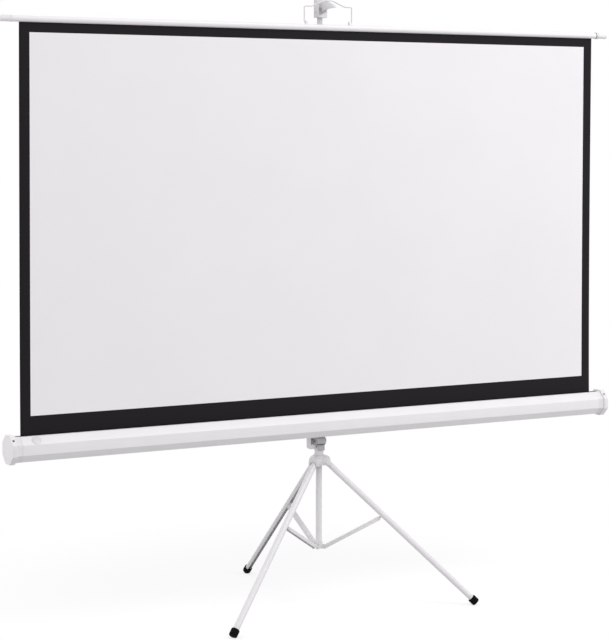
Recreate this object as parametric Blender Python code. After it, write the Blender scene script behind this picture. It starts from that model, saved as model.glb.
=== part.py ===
"""Tripod projector screen: a folding tripod, a telescoping square column and a roller case whose
screen sheet is hooked over an arm at the pole head. Metres, +Z up, the viewer is on the -Y side."""
import math

import bmesh
import bpy
from mathutils import Matrix, Vector

for old in list(bpy.data.objects):
    bpy.data.objects.remove(old, do_unlink=True)

# clearances
GAP = 0.0003
HOLE_GAP = 0.0003

# tripod
COLUMN_HALF = 0.0125
COLUMN_WALL = 0.0012
COLUMN_TOP = 1.450
POLE_R = 0.011
POLE_WALL = 0.0015
POLE_TOP = 0.756
LEG_R = 0.011
LEG_WALL = 0.0014
LEG_MOUTH_HALF = 0.0063
LEG_TOP = 0.006
LEG_PIVOT_R = 0.028
LEG_ANGLE = math.radians(46.8)
LEG_LENGTH = 0.7296
SOLE_RISE = 0.0071544314
LEG_PIVOT_Z = LEG_LENGTH * math.cos(LEG_ANGLE) + SOLE_RISE
LEG_END = LEG_LENGTH - 0.0110
LEG_AZIMUTHS = {"right": -30.0, "left": -150.0, "back": 90.0}
TIP_R = 0.0148
TIP_GRIP = 0.0145
TIP_ROUND = 0.004
HUB_BOTTOM = LEG_PIVOT_Z - 0.0086
HUB_LIP = 0.003
LOBE_HALF = 0.022
LOBE_SPRING_Z = LEG_PIVOT_Z + 0.0044
LOBE_REACH = 0.041
LOBE_SLOT_HALF = 0.0123
LOBE_SLOT_Z = LEG_PIVOT_Z + 0.0011
LOBE_WALL = 0.0016
LOBE_MOUTH_Z = LEG_PIVOT_Z - 0.0074
LEG_PIN_R = 0.0025
STRUT_PIN_R = 0.002
CLIP_ALONG = 0.2716
CLIP_OFFSET = 0.019
CLIP_HALF = 0.012
FIT_PIN_R = 0.021
FIT_PIN_Z = 0.205
FIT_BOTTOM = FIT_PIN_Z - 0.005
FIT_R = 0.0135
STRUT_HALF = 0.008
STRUT_DEPTH = 0.006
STRUT_WALL = 0.0012

# extension tube, collar and head
EXT_HALF = 0.0075
EXT_WALL = 0.0012
EXT_BOTTOM = COLUMN_TOP - 0.078
EXT_PLUG_LENGTH = 0.012
COLLAR_HALF = 0.016
COLLAR_BOTTOM = COLUMN_TOP - 0.018
COLLAR_TOP = COLUMN_TOP + 0.016
LOCK_Z = COLUMN_TOP + 0.008
LOCK_STEM_R = 0.003
HEAD_HALF = 0.018
HEAD_WALL = 0.003
HEAD_FRONT = -0.022
HEAD_BACK = 0.0105
HEAD_HEIGHT = 0.063
HEAD_TOP = 2.140
HEAD_BOTTOM = HEAD_TOP - HEAD_HEIGHT
EXT_TOP = HEAD_TOP - 0.030
ARM_HALF = 0.005
ARM_TOP = HEAD_TOP - 0.0065
RIVET_R = 0.0025
TUBE_RIVET_Z = HEAD_BOTTOM + 0.019
ARM_RIVET_Y = -0.0150
ARM_RIVET_Z = HEAD_TOP - 0.0135

# roller case
CASE_Y = -0.060
CASE_Z = 0.650
CASE_HALF = 0.0415
CASE_WALL = 0.0018
SLOT_HALF = 0.007
CAP_HALF = 0.0475
CAP_OUT = 1.197
CAP_IN = CAP_OUT - 0.017
CASE_END = CAP_OUT - 0.037
SCREW_X = (CAP_IN + CAP_OUT) / 2
CAP_WALL = 0.004
ROLLER_R = 0.015
ROLLER_WALL = 0.0012
ROLLER_END = CASE_END - 0.035
SHAFT_R = 0.004
SHAFT_REACH = 0.265
SHAFT_INNER = ROLLER_END - SHAFT_REACH
BADGE_INSET = 0.0505
LEFT_INSET = 0.010
LEFT_END = CASE_END - LEFT_INSET
SHEET_HALF = CASE_END - 0.017
SHEET_HALF_T = 0.0003
BOLT_R = 0.004

# slider under the case
SLIDER_HALF = 0.017
SLIDER_BOTTOM = CASE_Z - 0.080
SLIDER_TOP = CASE_Z + 0.030
WHEEL_Z = CASE_Z - 0.067
LEVER_PIN_Y = -0.0160
LEVER_PIN_Z = CASE_Z - 0.0765

# top bar and bail
BAR_BELOW_HEAD = 0.100
BAR_Z = HEAD_TOP - BAR_BELOW_HEAD
BAR_R = 0.011
BAR_WALL = 0.0018
BAR_END = CASE_END + 0.009
BAR_SLOT_HALF = 0.0015
PLUG_END = BAR_END + 0.040
ROD_R = 0.003
BAIL_R = 0.00225
BAIL_X = 0.095
BAIL_PIVOT_Z = BAR_Z + 0.018
BAIL_SHOULDER_Z = BAR_Z + 0.073
BAIL_TOP_Z = BAR_Z + 0.094

ROUND = 24
SMALL_ROUND = 16
EIGHTH = math.tan(math.pi / 8)


def paint(name, colour, rough, metal):
    """Principled material with one colour."""
    mat = bpy.data.materials.new(name)
    mat.use_nodes = True
    shader = mat.node_tree.nodes["Principled BSDF"]
    shader.inputs["Base Color"].default_value = (*colour, 1.0)
    shader.inputs["Roughness"].default_value = rough
    shader.inputs["Metallic"].default_value = metal
    mat.diffuse_color = (*colour, 1.0)
    return mat


def from_bmesh(name, bm):
    """Turn a bmesh into a scene object with its faces pointing out."""
    bmesh.ops.recalc_face_normals(bm, faces=bm.faces)
    mesh = bpy.data.meshes.new(name)
    bm.to_mesh(mesh)
    bm.free()
    obj = bpy.data.objects.new(name, mesh)
    bpy.context.collection.objects.link(obj)
    return obj


def loft(name, rings, closed_ring=False):
    """Skin equal-length rings of 3-D points; the ends are capped unless the stack closes on itself."""
    bm = bmesh.new()
    made = []
    for ring in rings:
        made.append([bm.verts.new(p) for p in ring])
    count = len(made[0])
    pairs = list(zip(made[:-1], made[1:]))
    if closed_ring:
        pairs.append((made[-1], made[0]))
    for low, high in pairs:
        for i in range(count):
            j = (i + 1) % count
            bm.faces.new((low[i], low[j], high[j], high[i]))
    if not closed_ring:
        bm.faces.new(made[0][::-1])
        bm.faces.new(made[-1])
    return from_bmesh(name, bm)


def put(axis, a, b, along):
    """Point from two plane coordinates and one along the axis."""
    if axis == "X":
        return Vector((along, a, b))
    if axis == "Y":
        return Vector((a, along, b))
    return Vector((a, b, along))


def prism(name, outline, axis, low, high):
    """Extrude a plane outline along an axis."""
    return loft(name, [[put(axis, a, b, s) for a, b in outline] for s in (low, high)])


def pipe(name, outer, inner, axis, low, high):
    """Extrude the ring between two outlines that have the same number of points."""
    rings = [[put(axis, a, b, s) for a, b in line]
             for line, s in ((outer, low), (outer, high), (inner, high), (inner, low))]
    return loft(name, rings, closed_ring=True)


def circle(radius, centre=(0.0, 0.0), count=ROUND):
    """Points of a circle, first one on the first axis."""
    return [(centre[0] + radius * math.cos(2 * math.pi * i / count),
             centre[1] + radius * math.sin(2 * math.pi * i / count)) for i in range(count)]


def rounded(points, radius, steps=3):
    """Outline with its convex corners replaced by arcs of the given radius."""
    out = []
    count = len(points)
    for i, here in enumerate(points):
        corner = Vector(here)
        back = (Vector(points[i - 1]) - corner).normalized()
        on = (Vector(points[(i + 1) % count]) - corner).normalized()
        half = back.angle(on) / 2
        reach = radius / math.tan(half)
        centre = corner + (back + on).normalized() * (radius / math.sin(half))
        first = corner + back * reach - centre
        turn = first.angle_signed(corner + on * reach - centre)
        for k in range(steps + 1):
            arm = first.copy()
            arm.rotate(Matrix.Rotation(-turn * k / steps, 2))
            out.append((centre.x + arm.x, centre.y + arm.y))
    return out


def square(half, radius=None):
    """Square outline, rounded when a radius is given."""
    points = [(half, -half), (half, half), (-half, half), (-half, -half)]
    if radius is None:
        return points
    return rounded(points, radius)


def octagon(half, centre=(0.0, 0.0)):
    """Octagon outline given half its width across flats."""
    side = half * EIGHTH
    ring = [(side, half), (half, side), (half, -side), (side, -half),
            (-side, -half), (-half, -side), (-half, side), (-side, half)]
    return [(centre[0] + a, centre[1] + b) for a, b in ring]


def box(name, x_range, y_range, z_range):
    """Box between three ranges."""
    outline = [(x_range[0], y_range[0]), (x_range[1], y_range[0]),
               (x_range[1], y_range[1]), (x_range[0], y_range[1])]
    return prism(name, outline, "Z", z_range[0], z_range[1])


def rod(name, radius, axis, centre, low, high, count=SMALL_ROUND):
    """Round bar along an axis."""
    return prism(name, circle(radius, centre, count), axis, low, high)


def turned(name, profile, axis, centre=(0.0, 0.0), count=SMALL_ROUND):
    """Solid turned from (radius, along) pairs that start and end on the axis or close as a ring."""
    on_axis = profile[0][0] == 0.0
    body = profile[1:-1] if on_axis else profile
    rings = [[put(axis, a, b, s) for a, b in circle(r, centre, count)] for r, s in body]
    return loft(name, rings, closed_ring=not on_axis)


def headed_pin(name, radius, half, head_r, head_t, axis, centre=(0.0, 0.0)):
    """Pin with a head at both ends, centred on zero along its axis."""
    profile = [(0.0, -half - head_t), (head_r * 0.7, -half - head_t), (head_r, -half - head_t / 2),
               (head_r, -half), (radius, -half), (radius, half), (head_r, half),
               (head_r, half + head_t / 2), (head_r * 0.7, half + head_t), (0.0, half + head_t)]
    return turned(name, profile, axis, centre)


def sweep(name, path, radius, count=8):
    """Round wire along a polyline of 3-D points."""
    points = [Vector(p) for p in path]
    rings = []
    side = None
    for i, here in enumerate(points):
        back = (here - points[i - 1]).normalized() if i else None
        on = (points[i + 1] - here).normalized() if i + 1 < len(points) else None
        if back is None:
            tangent, stretch = on, 1.0
        elif on is None:
            tangent, stretch = back, 1.0
        else:
            tangent = (back + on).normalized()
            stretch = 1.0 / max(tangent.dot(on), 0.5)
        if side is None:
            guess = Vector((0, 1, 0)) if abs(tangent.y) < 0.9 else Vector((1, 0, 0))
            side = tangent.cross(guess).normalized()
        side = (side - tangent * side.dot(tangent)).normalized()
        up = tangent.cross(side)
        bend = (on - back) if back is not None and on is not None else Vector((0, 0, 0))
        ring = []
        for k in range(count):
            turn = 2 * math.pi * k / count
            arm = side * math.cos(turn) + up * math.sin(turn)
            if bend.length > 1e-6:
                mitre = bend.normalized()
                arm = arm + mitre * arm.dot(mitre) * (stretch - 1.0)
            ring.append(here + arm * radius)
        rings.append(ring)
    return loft(name, rings)


def combine(target, tool, operation):
    """Apply one exact boolean and drop the tool."""
    step = target.modifiers.new("combine", "BOOLEAN")
    step.operation = operation
    step.solver = "EXACT"
    step.object = tool
    tool.hide_render = True
    tool.display_type = "WIRE"
    graph = bpy.context.evaluated_depsgraph_get()
    graph.update()
    mesh = bpy.data.meshes.new_from_object(target.evaluated_get(graph))
    target.modifiers.clear()
    target.data = mesh
    bpy.data.objects.remove(tool, do_unlink=True)
    return target


def cut(target, *tools):
    """Take the tools away from the target."""
    for tool in tools:
        combine(target, tool, "DIFFERENCE")
    return target


def join(target, *tools):
    """Fuse the tools into the target."""
    for tool in tools:
        combine(target, tool, "UNION")
    return target


def moved(obj, matrix):
    """Transform the mesh itself, so a tool can be made in one frame and used in another."""
    obj.data.transform(matrix)
    return obj


def spun(obj, degrees):
    """Turn the mesh round the column's axis."""
    return moved(obj, Matrix.Rotation(math.radians(degrees), 4, "Z"))


def finish(obj, mat, parent, location=(0.0, 0.0, 0.0), rotation=(0.0, 0.0, 0.0)):
    """Give the piece its material, its smooth shading and its place."""
    obj.data.materials.clear()
    obj.data.materials.append(mat)
    for face in obj.data.polygons:
        face.use_smooth = True
    obj.data.set_sharp_from_angle(angle=math.radians(32))
    obj.parent = parent
    obj.location = location
    obj.rotation_euler = rotation
    return obj


def holder(name, parent, location, rotation=(0.0, 0.0, 0.0)):
    """Empty that carries pieces on a shared axis."""
    empty = bpy.data.objects.new(name, None)
    bpy.context.collection.objects.link(empty)
    empty.parent = parent
    empty.location = location
    empty.rotation_euler = rotation
    return empty


WHITE_PAINT = paint("white_paint", (0.80, 0.80, 0.81), 0.35, 0.0)
WHITE_PLASTIC = paint("white_plastic", (0.82, 0.82, 0.83), 0.45, 0.0)
GREY_PLASTIC = paint("grey_plastic", (0.20, 0.20, 0.21), 0.55, 0.0)
RUBBER = paint("rubber", (0.02, 0.02, 0.02), 0.80, 0.0)
STEEL = paint("zinc_steel", (0.62, 0.62, 0.63), 0.35, 1.0)
FABRIC = paint("screen_fabric", (0.85, 0.85, 0.85), 0.90, 0.0)

stand = holder("stand", None, (0.0, 0.0, 0.0))

# hub: three vaulted lobes round a square bore, each with an arched slot for a leg
LOBE_ROUNDING = ((0.0021, 0.0, 0.0), (0.0190, 0.0, 0.0), (0.0260, 0.0, 0.0016), (0.0330, 0.0004, 0.0042),
                 (0.0366, 0.0012, 0.0057), (0.0389, 0.0028, 0.0068), (0.0404, 0.0052, 0.0075),
                 (LOBE_REACH, 0.0082, 0.0080))
HUB_TOP = LOBE_SPRING_Z + LOBE_HALF


def arch(half, spring_z, bottom, count=12):
    """Outline with upright sides and a half-round top."""
    ring = [(half, bottom)]
    ring += [(half * math.cos(math.pi * i / count), spring_z + half * math.sin(math.pi * i / count))
             for i in range(count + 1)]
    ring.append((-half, bottom))
    return ring


hub = rod("hub", 0.021, "Z", (0.0, 0.0), HUB_BOTTOM + 0.004, HUB_TOP - 0.0007, ROUND)
for bearing in LEG_AZIMUTHS.values():
    sections = [[Vector((along, a, b))
                 for a, b in arch(LOBE_HALF - inset, LOBE_SPRING_Z - drop, HUB_BOTTOM)]
                for along, inset, drop in LOBE_ROUNDING]
    join(hub, spun(loft("lobe", sections), bearing))
bore = prism("bore", square(COLUMN_HALF + HOLE_GAP), "Z", HUB_BOTTOM + HUB_LIP, HUB_TOP + 0.01)
cut(hub, bore, rod("lip", POLE_R + HOLE_GAP, "Z", (0.0, 0.0), HUB_BOTTOM - 0.01, HUB_TOP, ROUND))
for bearing in LEG_AZIMUTHS.values():
    slot = prism("slot", arch(LOBE_SLOT_HALF, LOBE_SLOT_Z, HUB_BOTTOM - 0.01), "X",
                 0.0160, LOBE_REACH - LOBE_WALL)
    mouth = prism("mouth", arch(LOBE_SLOT_HALF - 0.0001, LOBE_MOUTH_Z, HUB_BOTTOM - 0.012), "X",
                  LOBE_REACH - LOBE_WALL - 0.002, 0.060)
    hole = rod("hole", LEG_PIN_R + HOLE_GAP, "Y", (LEG_PIVOT_R, LEG_PIVOT_Z), -0.03, 0.03)
    cut(hub, spun(slot, bearing), spun(mouth, bearing), spun(hole, bearing))
finish(hub, WHITE_PLASTIC, stand)

# column, and the lower pole that slides in it
column = pipe("column", square(COLUMN_HALF, 0.0025), square(COLUMN_HALF - COLUMN_WALL, 0.0003),
              "Z", HUB_BOTTOM + HUB_LIP + GAP, COLUMN_TOP)
finish(column, WHITE_PAINT, stand)
lower_pole = pipe("lower_pole", circle(POLE_R), circle(POLE_R - POLE_WALL),
                  "Z", FIT_BOTTOM + 0.0028 - FIT_PIN_Z, POLE_TOP - FIT_PIN_Z)
finish(lower_pole, WHITE_PAINT, stand, (0.0, 0.0, FIT_PIN_Z))

# fitting on the foot of the lower pole: a cup with three pairs of ears open downwards
EAR_IN = 0.0085
EAR_OUT = 0.0105
FIT_LIFT = FIT_BOTTOM - FIT_PIN_Z
fitting = turned("foot_fitting", [(0.0, FIT_LIFT), (FIT_R - 0.001, FIT_LIFT), (FIT_R, FIT_LIFT + 0.001),
                                  (FIT_R, 0.017), (POLE_R + HOLE_GAP, 0.017),
                                  (POLE_R + HOLE_GAP, FIT_LIFT + 0.0025), (0.0, FIT_LIFT + 0.0025)],
                 "Z", count=ROUND)
for bearing in LEG_AZIMUTHS.values():
    for side in (-1, 1):
        ear_ys = sorted((side * EAR_IN, side * EAR_OUT))
        outline = [(0.0075, FIT_LIFT), (0.0265, FIT_LIFT), (0.0265, 0.0030), (0.0235, 0.0060),
                   (0.0075, 0.0060)]
        join(fitting, spun(prism("ear", outline, "Y", *ear_ys), bearing))
    notch = [(FIT_PIN_R + 0.0026, -0.008), (FIT_PIN_R + 0.0023, 0.0), (FIT_PIN_R + 0.0016, 0.0016),
             (FIT_PIN_R, 0.0023), (FIT_PIN_R - 0.0016, 0.0016), (FIT_PIN_R - 0.0023, 0.0),
             (FIT_PIN_R - 0.0046, -0.008)]
    cut(fitting, spun(prism("notch", notch, "Y", -0.015, 0.015), bearing))
finish(fitting, WHITE_PLASTIC, stand, (0.0, 0.0, FIT_PIN_Z))

# legs, their rubber tips, the strut clips and the struts
DOWN = Vector((math.sin(LEG_ANGLE), -math.cos(LEG_ANGLE)))
INWARD = Vector((-math.cos(LEG_ANGLE), -math.sin(LEG_ANGLE)))
CLIP_POINT = Vector((LEG_PIVOT_R, LEG_PIVOT_Z)) + DOWN * CLIP_ALONG + INWARD * CLIP_OFFSET
STRUT_SPAN = CLIP_POINT - Vector((FIT_PIN_R, FIT_PIN_Z))
STRUT_LENGTH = STRUT_SPAN.length
STRUT_TILT = math.pi / 2 - math.atan2(STRUT_SPAN.y, STRUT_SPAN.x)
STRUT_OUTER = STRUT_HALF - STRUT_WALL
LEG_INNER_R = LEG_R - LEG_WALL
LEG_STEPS = 22


def open_arc(radius, mouth_half):
    """Arc from one lip of a mouth on the -X side round to the other lip."""
    reach = math.pi - math.asin(mouth_half / radius)
    return [(radius * math.cos(reach * (2 * i / LEG_STEPS - 1)),
             radius * math.sin(reach * (2 * i / LEG_STEPS - 1))) for i in range(LEG_STEPS + 1)]


LEG_LINE = open_arc(LEG_R, LEG_MOUTH_HALF) + open_arc(LEG_INNER_R, LEG_MOUTH_HALF)[::-1]

for side_name, bearing in LEG_AZIMUTHS.items():
    azimuth = math.radians(bearing)
    facing = holder("facing_" + side_name, stand, (0.0, 0.0, 0.0), (0.0, 0.0, azimuth))
    leg_turn = (0.0, -LEG_ANGLE, 0.0)
    pivot = (LEG_PIVOT_R, 0.0, LEG_PIVOT_Z)

    pin = headed_pin("leg_pin_" + side_name, LEG_PIN_R, LOBE_HALF + GAP, 0.0042, 0.0015, "Y")
    finish(pin, STEEL, facing, pivot)

    leg = prism("leg_tube_" + side_name, LEG_LINE, "Z", -LEG_END, LEG_TOP)
    cut(leg, rod("hole", LEG_PIN_R + HOLE_GAP, "Y", (0.0, 0.0), -0.02, 0.02))
    finish(leg, WHITE_PAINT, facing, pivot, leg_turn)

    grip_top = -LEG_END + TIP_GRIP
    profile = [(LEG_R + HOLE_GAP, grip_top), (TIP_R - 0.0009, grip_top), (TIP_R, grip_top - 0.0015),
               (TIP_R, -LEG_LENGTH + TIP_ROUND), (TIP_R - 0.3 * TIP_ROUND, -LEG_LENGTH + 0.3 * TIP_ROUND),
               (TIP_R - TIP_ROUND, -LEG_LENGTH), (0.0, -LEG_LENGTH),
               (0.0, -LEG_END - GAP), (LEG_R + HOLE_GAP, -LEG_END - GAP)]
    around = [profile[-1]] + profile[:-3]
    tip = turned("leg_tip_" + side_name, [(0.0, 0.0)] + around + [(0.0, 0.0)], "Z", count=ROUND)
    cutter = bmesh.new()
    cutter.from_mesh(tip.data)
    sole = bmesh.ops.bisect_plane(cutter, geom=cutter.verts[:] + cutter.edges[:] + cutter.faces[:],
                                  plane_co=(0.0, 0.0, -LEG_PIVOT_Z / math.cos(LEG_ANGLE)),
                                  plane_no=(-math.sin(LEG_ANGLE), 0.0, -math.cos(LEG_ANGLE)),
                                  clear_outer=True)
    bmesh.ops.holes_fill(cutter, edges=[e for e in sole["geom_cut"] if isinstance(e, bmesh.types.BMEdge)])
    bmesh.ops.recalc_face_normals(cutter, faces=cutter.faces)
    cutter.to_mesh(tip.data)
    cutter.free()
    finish(tip, RUBBER, facing, pivot, leg_turn)

    clip = rod("strut_clip_" + side_name, LEG_INNER_R - HOLE_GAP, "Z", (0.0, 0.0), -CLIP_HALF, CLIP_HALF, ROUND)
    neck_half = LEG_MOUTH_HALF - HOLE_GAP
    join(clip, box("neck", (-CLIP_OFFSET, 0.0), (-neck_half, neck_half), (-0.004, 0.004)),
         rod("eye", 0.0044, "Y", (-CLIP_OFFSET, 0.0), -neck_half, neck_half))
    cut(clip, rod("hole", STRUT_PIN_R + HOLE_GAP, "Y", (-CLIP_OFFSET, 0.0), -0.02, 0.02))
    along = Vector((LEG_PIVOT_R, LEG_PIVOT_Z)) + DOWN * CLIP_ALONG
    finish(clip, WHITE_PLASTIC, facing, (along.x, 0.0, along.y), leg_turn)

    depth = STRUT_DEPTH
    outline = [(-depth, -0.001)]
    outline += [(depth * math.cos(math.radians(a)), depth * math.sin(math.radians(a)))
                for a in (90, 60, 30, 0)]
    outline += [(depth * math.cos(math.radians(a)), -STRUT_LENGTH + depth * math.sin(math.radians(a)))
                for a in (0, -30, -60, -90, -120)]
    outline += [(-depth, -STRUT_LENGTH + 0.001)]
    strut = prism("strut_" + side_name, outline, "Y", -STRUT_HALF, STRUT_HALF)
    trough = box("trough", (-depth + STRUT_WALL, depth + 0.01), (-STRUT_OUTER, STRUT_OUTER),
                 (-STRUT_LENGTH - 0.02, 0.02))
    hole_top = rod("hole", STRUT_PIN_R + HOLE_GAP, "Y", (0.0, 0.0), -0.02, 0.02)
    hole_low = rod("hole", STRUT_PIN_R + HOLE_GAP, "Y", (0.0, -STRUT_LENGTH), -0.02, 0.02)
    cut(strut, trough, hole_top, hole_low)
    strut_turn = (0.0, STRUT_TILT, 0.0)
    finish(strut, WHITE_PAINT, facing, (CLIP_POINT.x, 0.0, CLIP_POINT.y), strut_turn)

    top_pin = headed_pin("strut_pin_top_" + side_name, STRUT_PIN_R, STRUT_HALF + GAP, 0.0034, 0.0012, "Y")
    finish(top_pin, STEEL, facing, (CLIP_POINT.x, 0.0, CLIP_POINT.y), strut_turn)
    low_pin = headed_pin("strut_pin_low_" + side_name, STRUT_PIN_R, EAR_OUT + GAP, 0.0030, 0.0010, "Y")
    finish(low_pin, STEEL, facing, (FIT_PIN_R, 0.0, FIT_PIN_Z), strut_turn)

# collar on the column top, with its lock knob behind
collar = prism("column_collar", square(COLLAR_HALF, 0.003), "Z", COLLAR_BOTTOM, COLLAR_TOP)
join(collar, rod("boss", 0.008, "Y", (0.0, LOCK_Z - 0.001), 0.012, 0.0215, ROUND))
cut(collar, prism("socket", square(COLUMN_HALF + HOLE_GAP), "Z", COLLAR_BOTTOM - 0.01, COLUMN_TOP + GAP),
    prism("guide", square(EXT_HALF + HOLE_GAP), "Z", COLLAR_BOTTOM, COLLAR_TOP + 0.01),
    rod("hole", LOCK_STEM_R + HOLE_GAP, "Y", (0.0, LOCK_Z), 0.0, 0.03))
finish(collar, WHITE_PLASTIC, stand)

KNOB_R = 0.014
KNOB_LOBES = 6
KNOB_POINTS = 36
grip = [((KNOB_R + 0.0016 * math.cos(KNOB_LOBES * 2 * math.pi * i / KNOB_POINTS))
         * math.cos(2 * math.pi * i / KNOB_POINTS),
         (KNOB_R + 0.0016 * math.cos(KNOB_LOBES * 2 * math.pi * i / KNOB_POINTS))
         * math.sin(2 * math.pi * i / KNOB_POINTS)) for i in range(KNOB_POINTS)]
knob_rings = [[Vector((a * s, y, b * s)) for a, b in grip]
              for s, y in ((0.90, 0.0225), (1.0, 0.0240), (1.0, 0.0330), (0.86, 0.0350))]
collar_knob = loft("collar_knob", knob_rings)
join(collar_knob, rod("stem", LOCK_STEM_R, "Y", (0.0, 0.0), EXT_HALF + GAP, 0.024))
finish(collar_knob, GREY_PLASTIC, stand, (0.0, 0.0, LOCK_Z))

# extension tube with its lower guide plug
extension = holder("extension", stand, (0.0, 0.0, 0.0))
ext_tube = pipe("extension_tube", square(EXT_HALF, 0.0015), square(EXT_HALF - EXT_WALL, 0.0003),
                "Z", EXT_BOTTOM, EXT_TOP)
cut(ext_tube, rod("hole", RIVET_R + HOLE_GAP, "X", (0.0, TUBE_RIVET_Z), -0.03, 0.03))
finish(ext_tube, WHITE_PAINT, extension)
ext_plug = prism("extension_plug", square(COLUMN_HALF - COLUMN_WALL - HOLE_GAP, 0.002), "Z",
                 EXT_BOTTOM - EXT_PLUG_LENGTH, EXT_BOTTOM - GAP)
join(ext_plug, prism("stem", square(EXT_HALF - EXT_WALL - HOLE_GAP), "Z",
                     EXT_BOTTOM - 0.007, EXT_BOTTOM + 0.012))
finish(ext_plug, GREY_PLASTIC, extension)

# head bracket, open to the front, and the hook arm riveted in it
head_outline = [(HEAD_FRONT, HEAD_BOTTOM), (HEAD_BACK, HEAD_BOTTOM), (HEAD_BACK, HEAD_TOP),
                (-0.0110, HEAD_TOP), (HEAD_FRONT, HEAD_TOP - 0.0130)]
head = prism("head_bracket", head_outline, "X", -HEAD_HALF, HEAD_HALF)
hollow = box("hollow", (-HEAD_HALF + HEAD_WALL, HEAD_HALF - HEAD_WALL),
             (HEAD_FRONT + 0.0022, HEAD_BACK - 0.0027), (HEAD_BOTTOM + 0.0035, HEAD_TOP + 0.01))
front_curve = [(-HEAD_HALF + HEAD_WALL, HEAD_TOP + 0.01), (-HEAD_HALF + HEAD_WALL, HEAD_BOTTOM + 0.0080),
               (-0.006, HEAD_BOTTOM + 0.0110), (0.004, HEAD_BOTTOM + 0.0155),
               (HEAD_HALF - HEAD_WALL, HEAD_BOTTOM + 0.0195), (HEAD_HALF - HEAD_WALL, HEAD_TOP + 0.01)]
mouth = prism("mouth", front_curve, "Y", HEAD_FRONT - 0.01, HEAD_FRONT + 0.004)
passage = prism("passage", square(EXT_HALF + HOLE_GAP), "Z", HEAD_BOTTOM - 0.01, HEAD_TOP + 0.01)
cut(head, hollow, mouth, passage,
    rod("hole", RIVET_R + HOLE_GAP, "X", (0.0, TUBE_RIVET_Z), -0.03, 0.03),
    rod("hole", RIVET_R + HOLE_GAP, "X", (ARM_RIVET_Y, ARM_RIVET_Z), -0.03, 0.03))
finish(head, WHITE_PAINT, extension)
tube_rivet = headed_pin("head_rivet", RIVET_R, HEAD_HALF + GAP, 0.0042, 0.0014, "X")
finish(tube_rivet, STEEL, extension, (0.0, 0.0, TUBE_RIVET_Z))

arm_line = [(-0.0082, 0.0), (-0.0450, 0.0), (-0.0600, -0.0023), (-0.0910, -0.0130), (-0.1120, -0.0235),
            (-0.1115, -0.0249), (-0.0580, -0.0273), (-0.0280, -0.0335), (-0.0180, -0.0385),
            (-0.0082, -0.0385)]
arm_outline = [(along, ARM_TOP + up) for along, up in arm_line]
hook_arm = prism("hook_arm", arm_outline, "X", -ARM_HALF, ARM_HALF)
root_half = HEAD_HALF - HEAD_WALL - GAP
join(hook_arm, box("root", (-root_half, root_half), (-0.0195, -0.0082),
                   (HEAD_BOTTOM + 0.0065, ARM_TOP)))
cut(hook_arm, rod("hole", RIVET_R + HOLE_GAP, "X", (ARM_RIVET_Y, ARM_RIVET_Z), -0.03, 0.03))
finish(hook_arm, GREY_PLASTIC, extension)
arm_rivet = headed_pin("arm_rivet", RIVET_R, HEAD_HALF + GAP, 0.0042, 0.0014, "X")
finish(arm_rivet, STEEL, extension, (0.0, ARM_RIVET_Y, ARM_RIVET_Z))

# slider that carries the case on the column
slider_root = holder("slider_root", stand, (0.0, 0.0, CASE_Z))
LOW = SLIDER_BOTTOM - CASE_Z
HIGH = SLIDER_TOP - CASE_Z
slider = prism("slider_body", square(SLIDER_HALF, 0.002), "Z", LOW, HIGH)
FACE_HALF = SLIDER_HALF + 0.0005
face = [(-FACE_HALF, LOW + 0.0235), (-FACE_HALF, LOW + 0.004), (-0.0145, LOW + 0.0008),
        (0.0095, LOW + 0.0008), (0.0142, LOW + 0.0040), (FACE_HALF, LOW + 0.0095),
        (FACE_HALF, LOW + 0.0235)]
LEVER_ROOM = 0.0133
join(slider, prism("face", face, "Y", -0.0225, -0.0141))
cut(slider, prism("bore", square(COLUMN_HALF + HOLE_GAP), "Z", LOW + 0.0085, HIGH + 0.01),
    box("pocket", (-LEVER_ROOM, LEVER_ROOM), (-0.0205, COLUMN_HALF + HOLE_GAP), (LOW - 0.01, LOW + 0.0088)),
    rod("hole", 0.0018, "X", (LEVER_PIN_Y, LEVER_PIN_Z - CASE_Z), -0.03, 0.03, 12),
    rod("hole", BOLT_R + HOLE_GAP, "Y", (0.0, 0.0), -0.03, 0.0),
    rod("hole", LOCK_STEM_R + HOLE_GAP, "X", (0.0, WHEEL_Z - CASE_Z), -0.03, 0.0))
finish(slider, GREY_PLASTIC, slider_root)

LEFT_FACE = -SLIDER_HALF - GAP
wheel_low = WHEEL_Z - CASE_Z - 0.0115
wheel_high = WHEEL_Z - CASE_Z + 0.0115
bracket_line = [(LEFT_FACE, -0.0945), (LEFT_FACE, wheel_low), (-0.0360, wheel_low), (-0.0360, wheel_high),
                (LEFT_FACE, wheel_high), (LEFT_FACE, -0.0350), (-0.0420, -0.0350), (-0.0460, -0.0390),
                (-0.0460, -0.0850), (-0.0445, -0.0895), (-0.0410, -0.0930), (-0.0365, -0.0945)]
bracket = prism("slider_bracket", bracket_line, "Y", -0.008, 0.008)
cut(bracket, rod("hole", LOCK_STEM_R + HOLE_GAP, "X", (0.0, WHEEL_Z - CASE_Z), -0.042, -0.030))
finish(bracket, WHITE_PAINT, slider_root)

wheel = [(0.0, -0.0395), (LOCK_STEM_R, -0.0395), (LOCK_STEM_R, -0.0345), (0.0088, -0.0345),
         (0.0100, -0.0335), (0.0100, -0.0245), (0.0088, -0.0235), (LOCK_STEM_R, -0.0235),
         (LOCK_STEM_R, -0.0131), (0.0, -0.0131)]
height_wheel = turned("height_wheel", wheel, "X", count=20)
finish(height_wheel, GREY_PLASTIC, slider_root, (0.0, 0.0, WHEEL_Z - CASE_Z))

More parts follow.
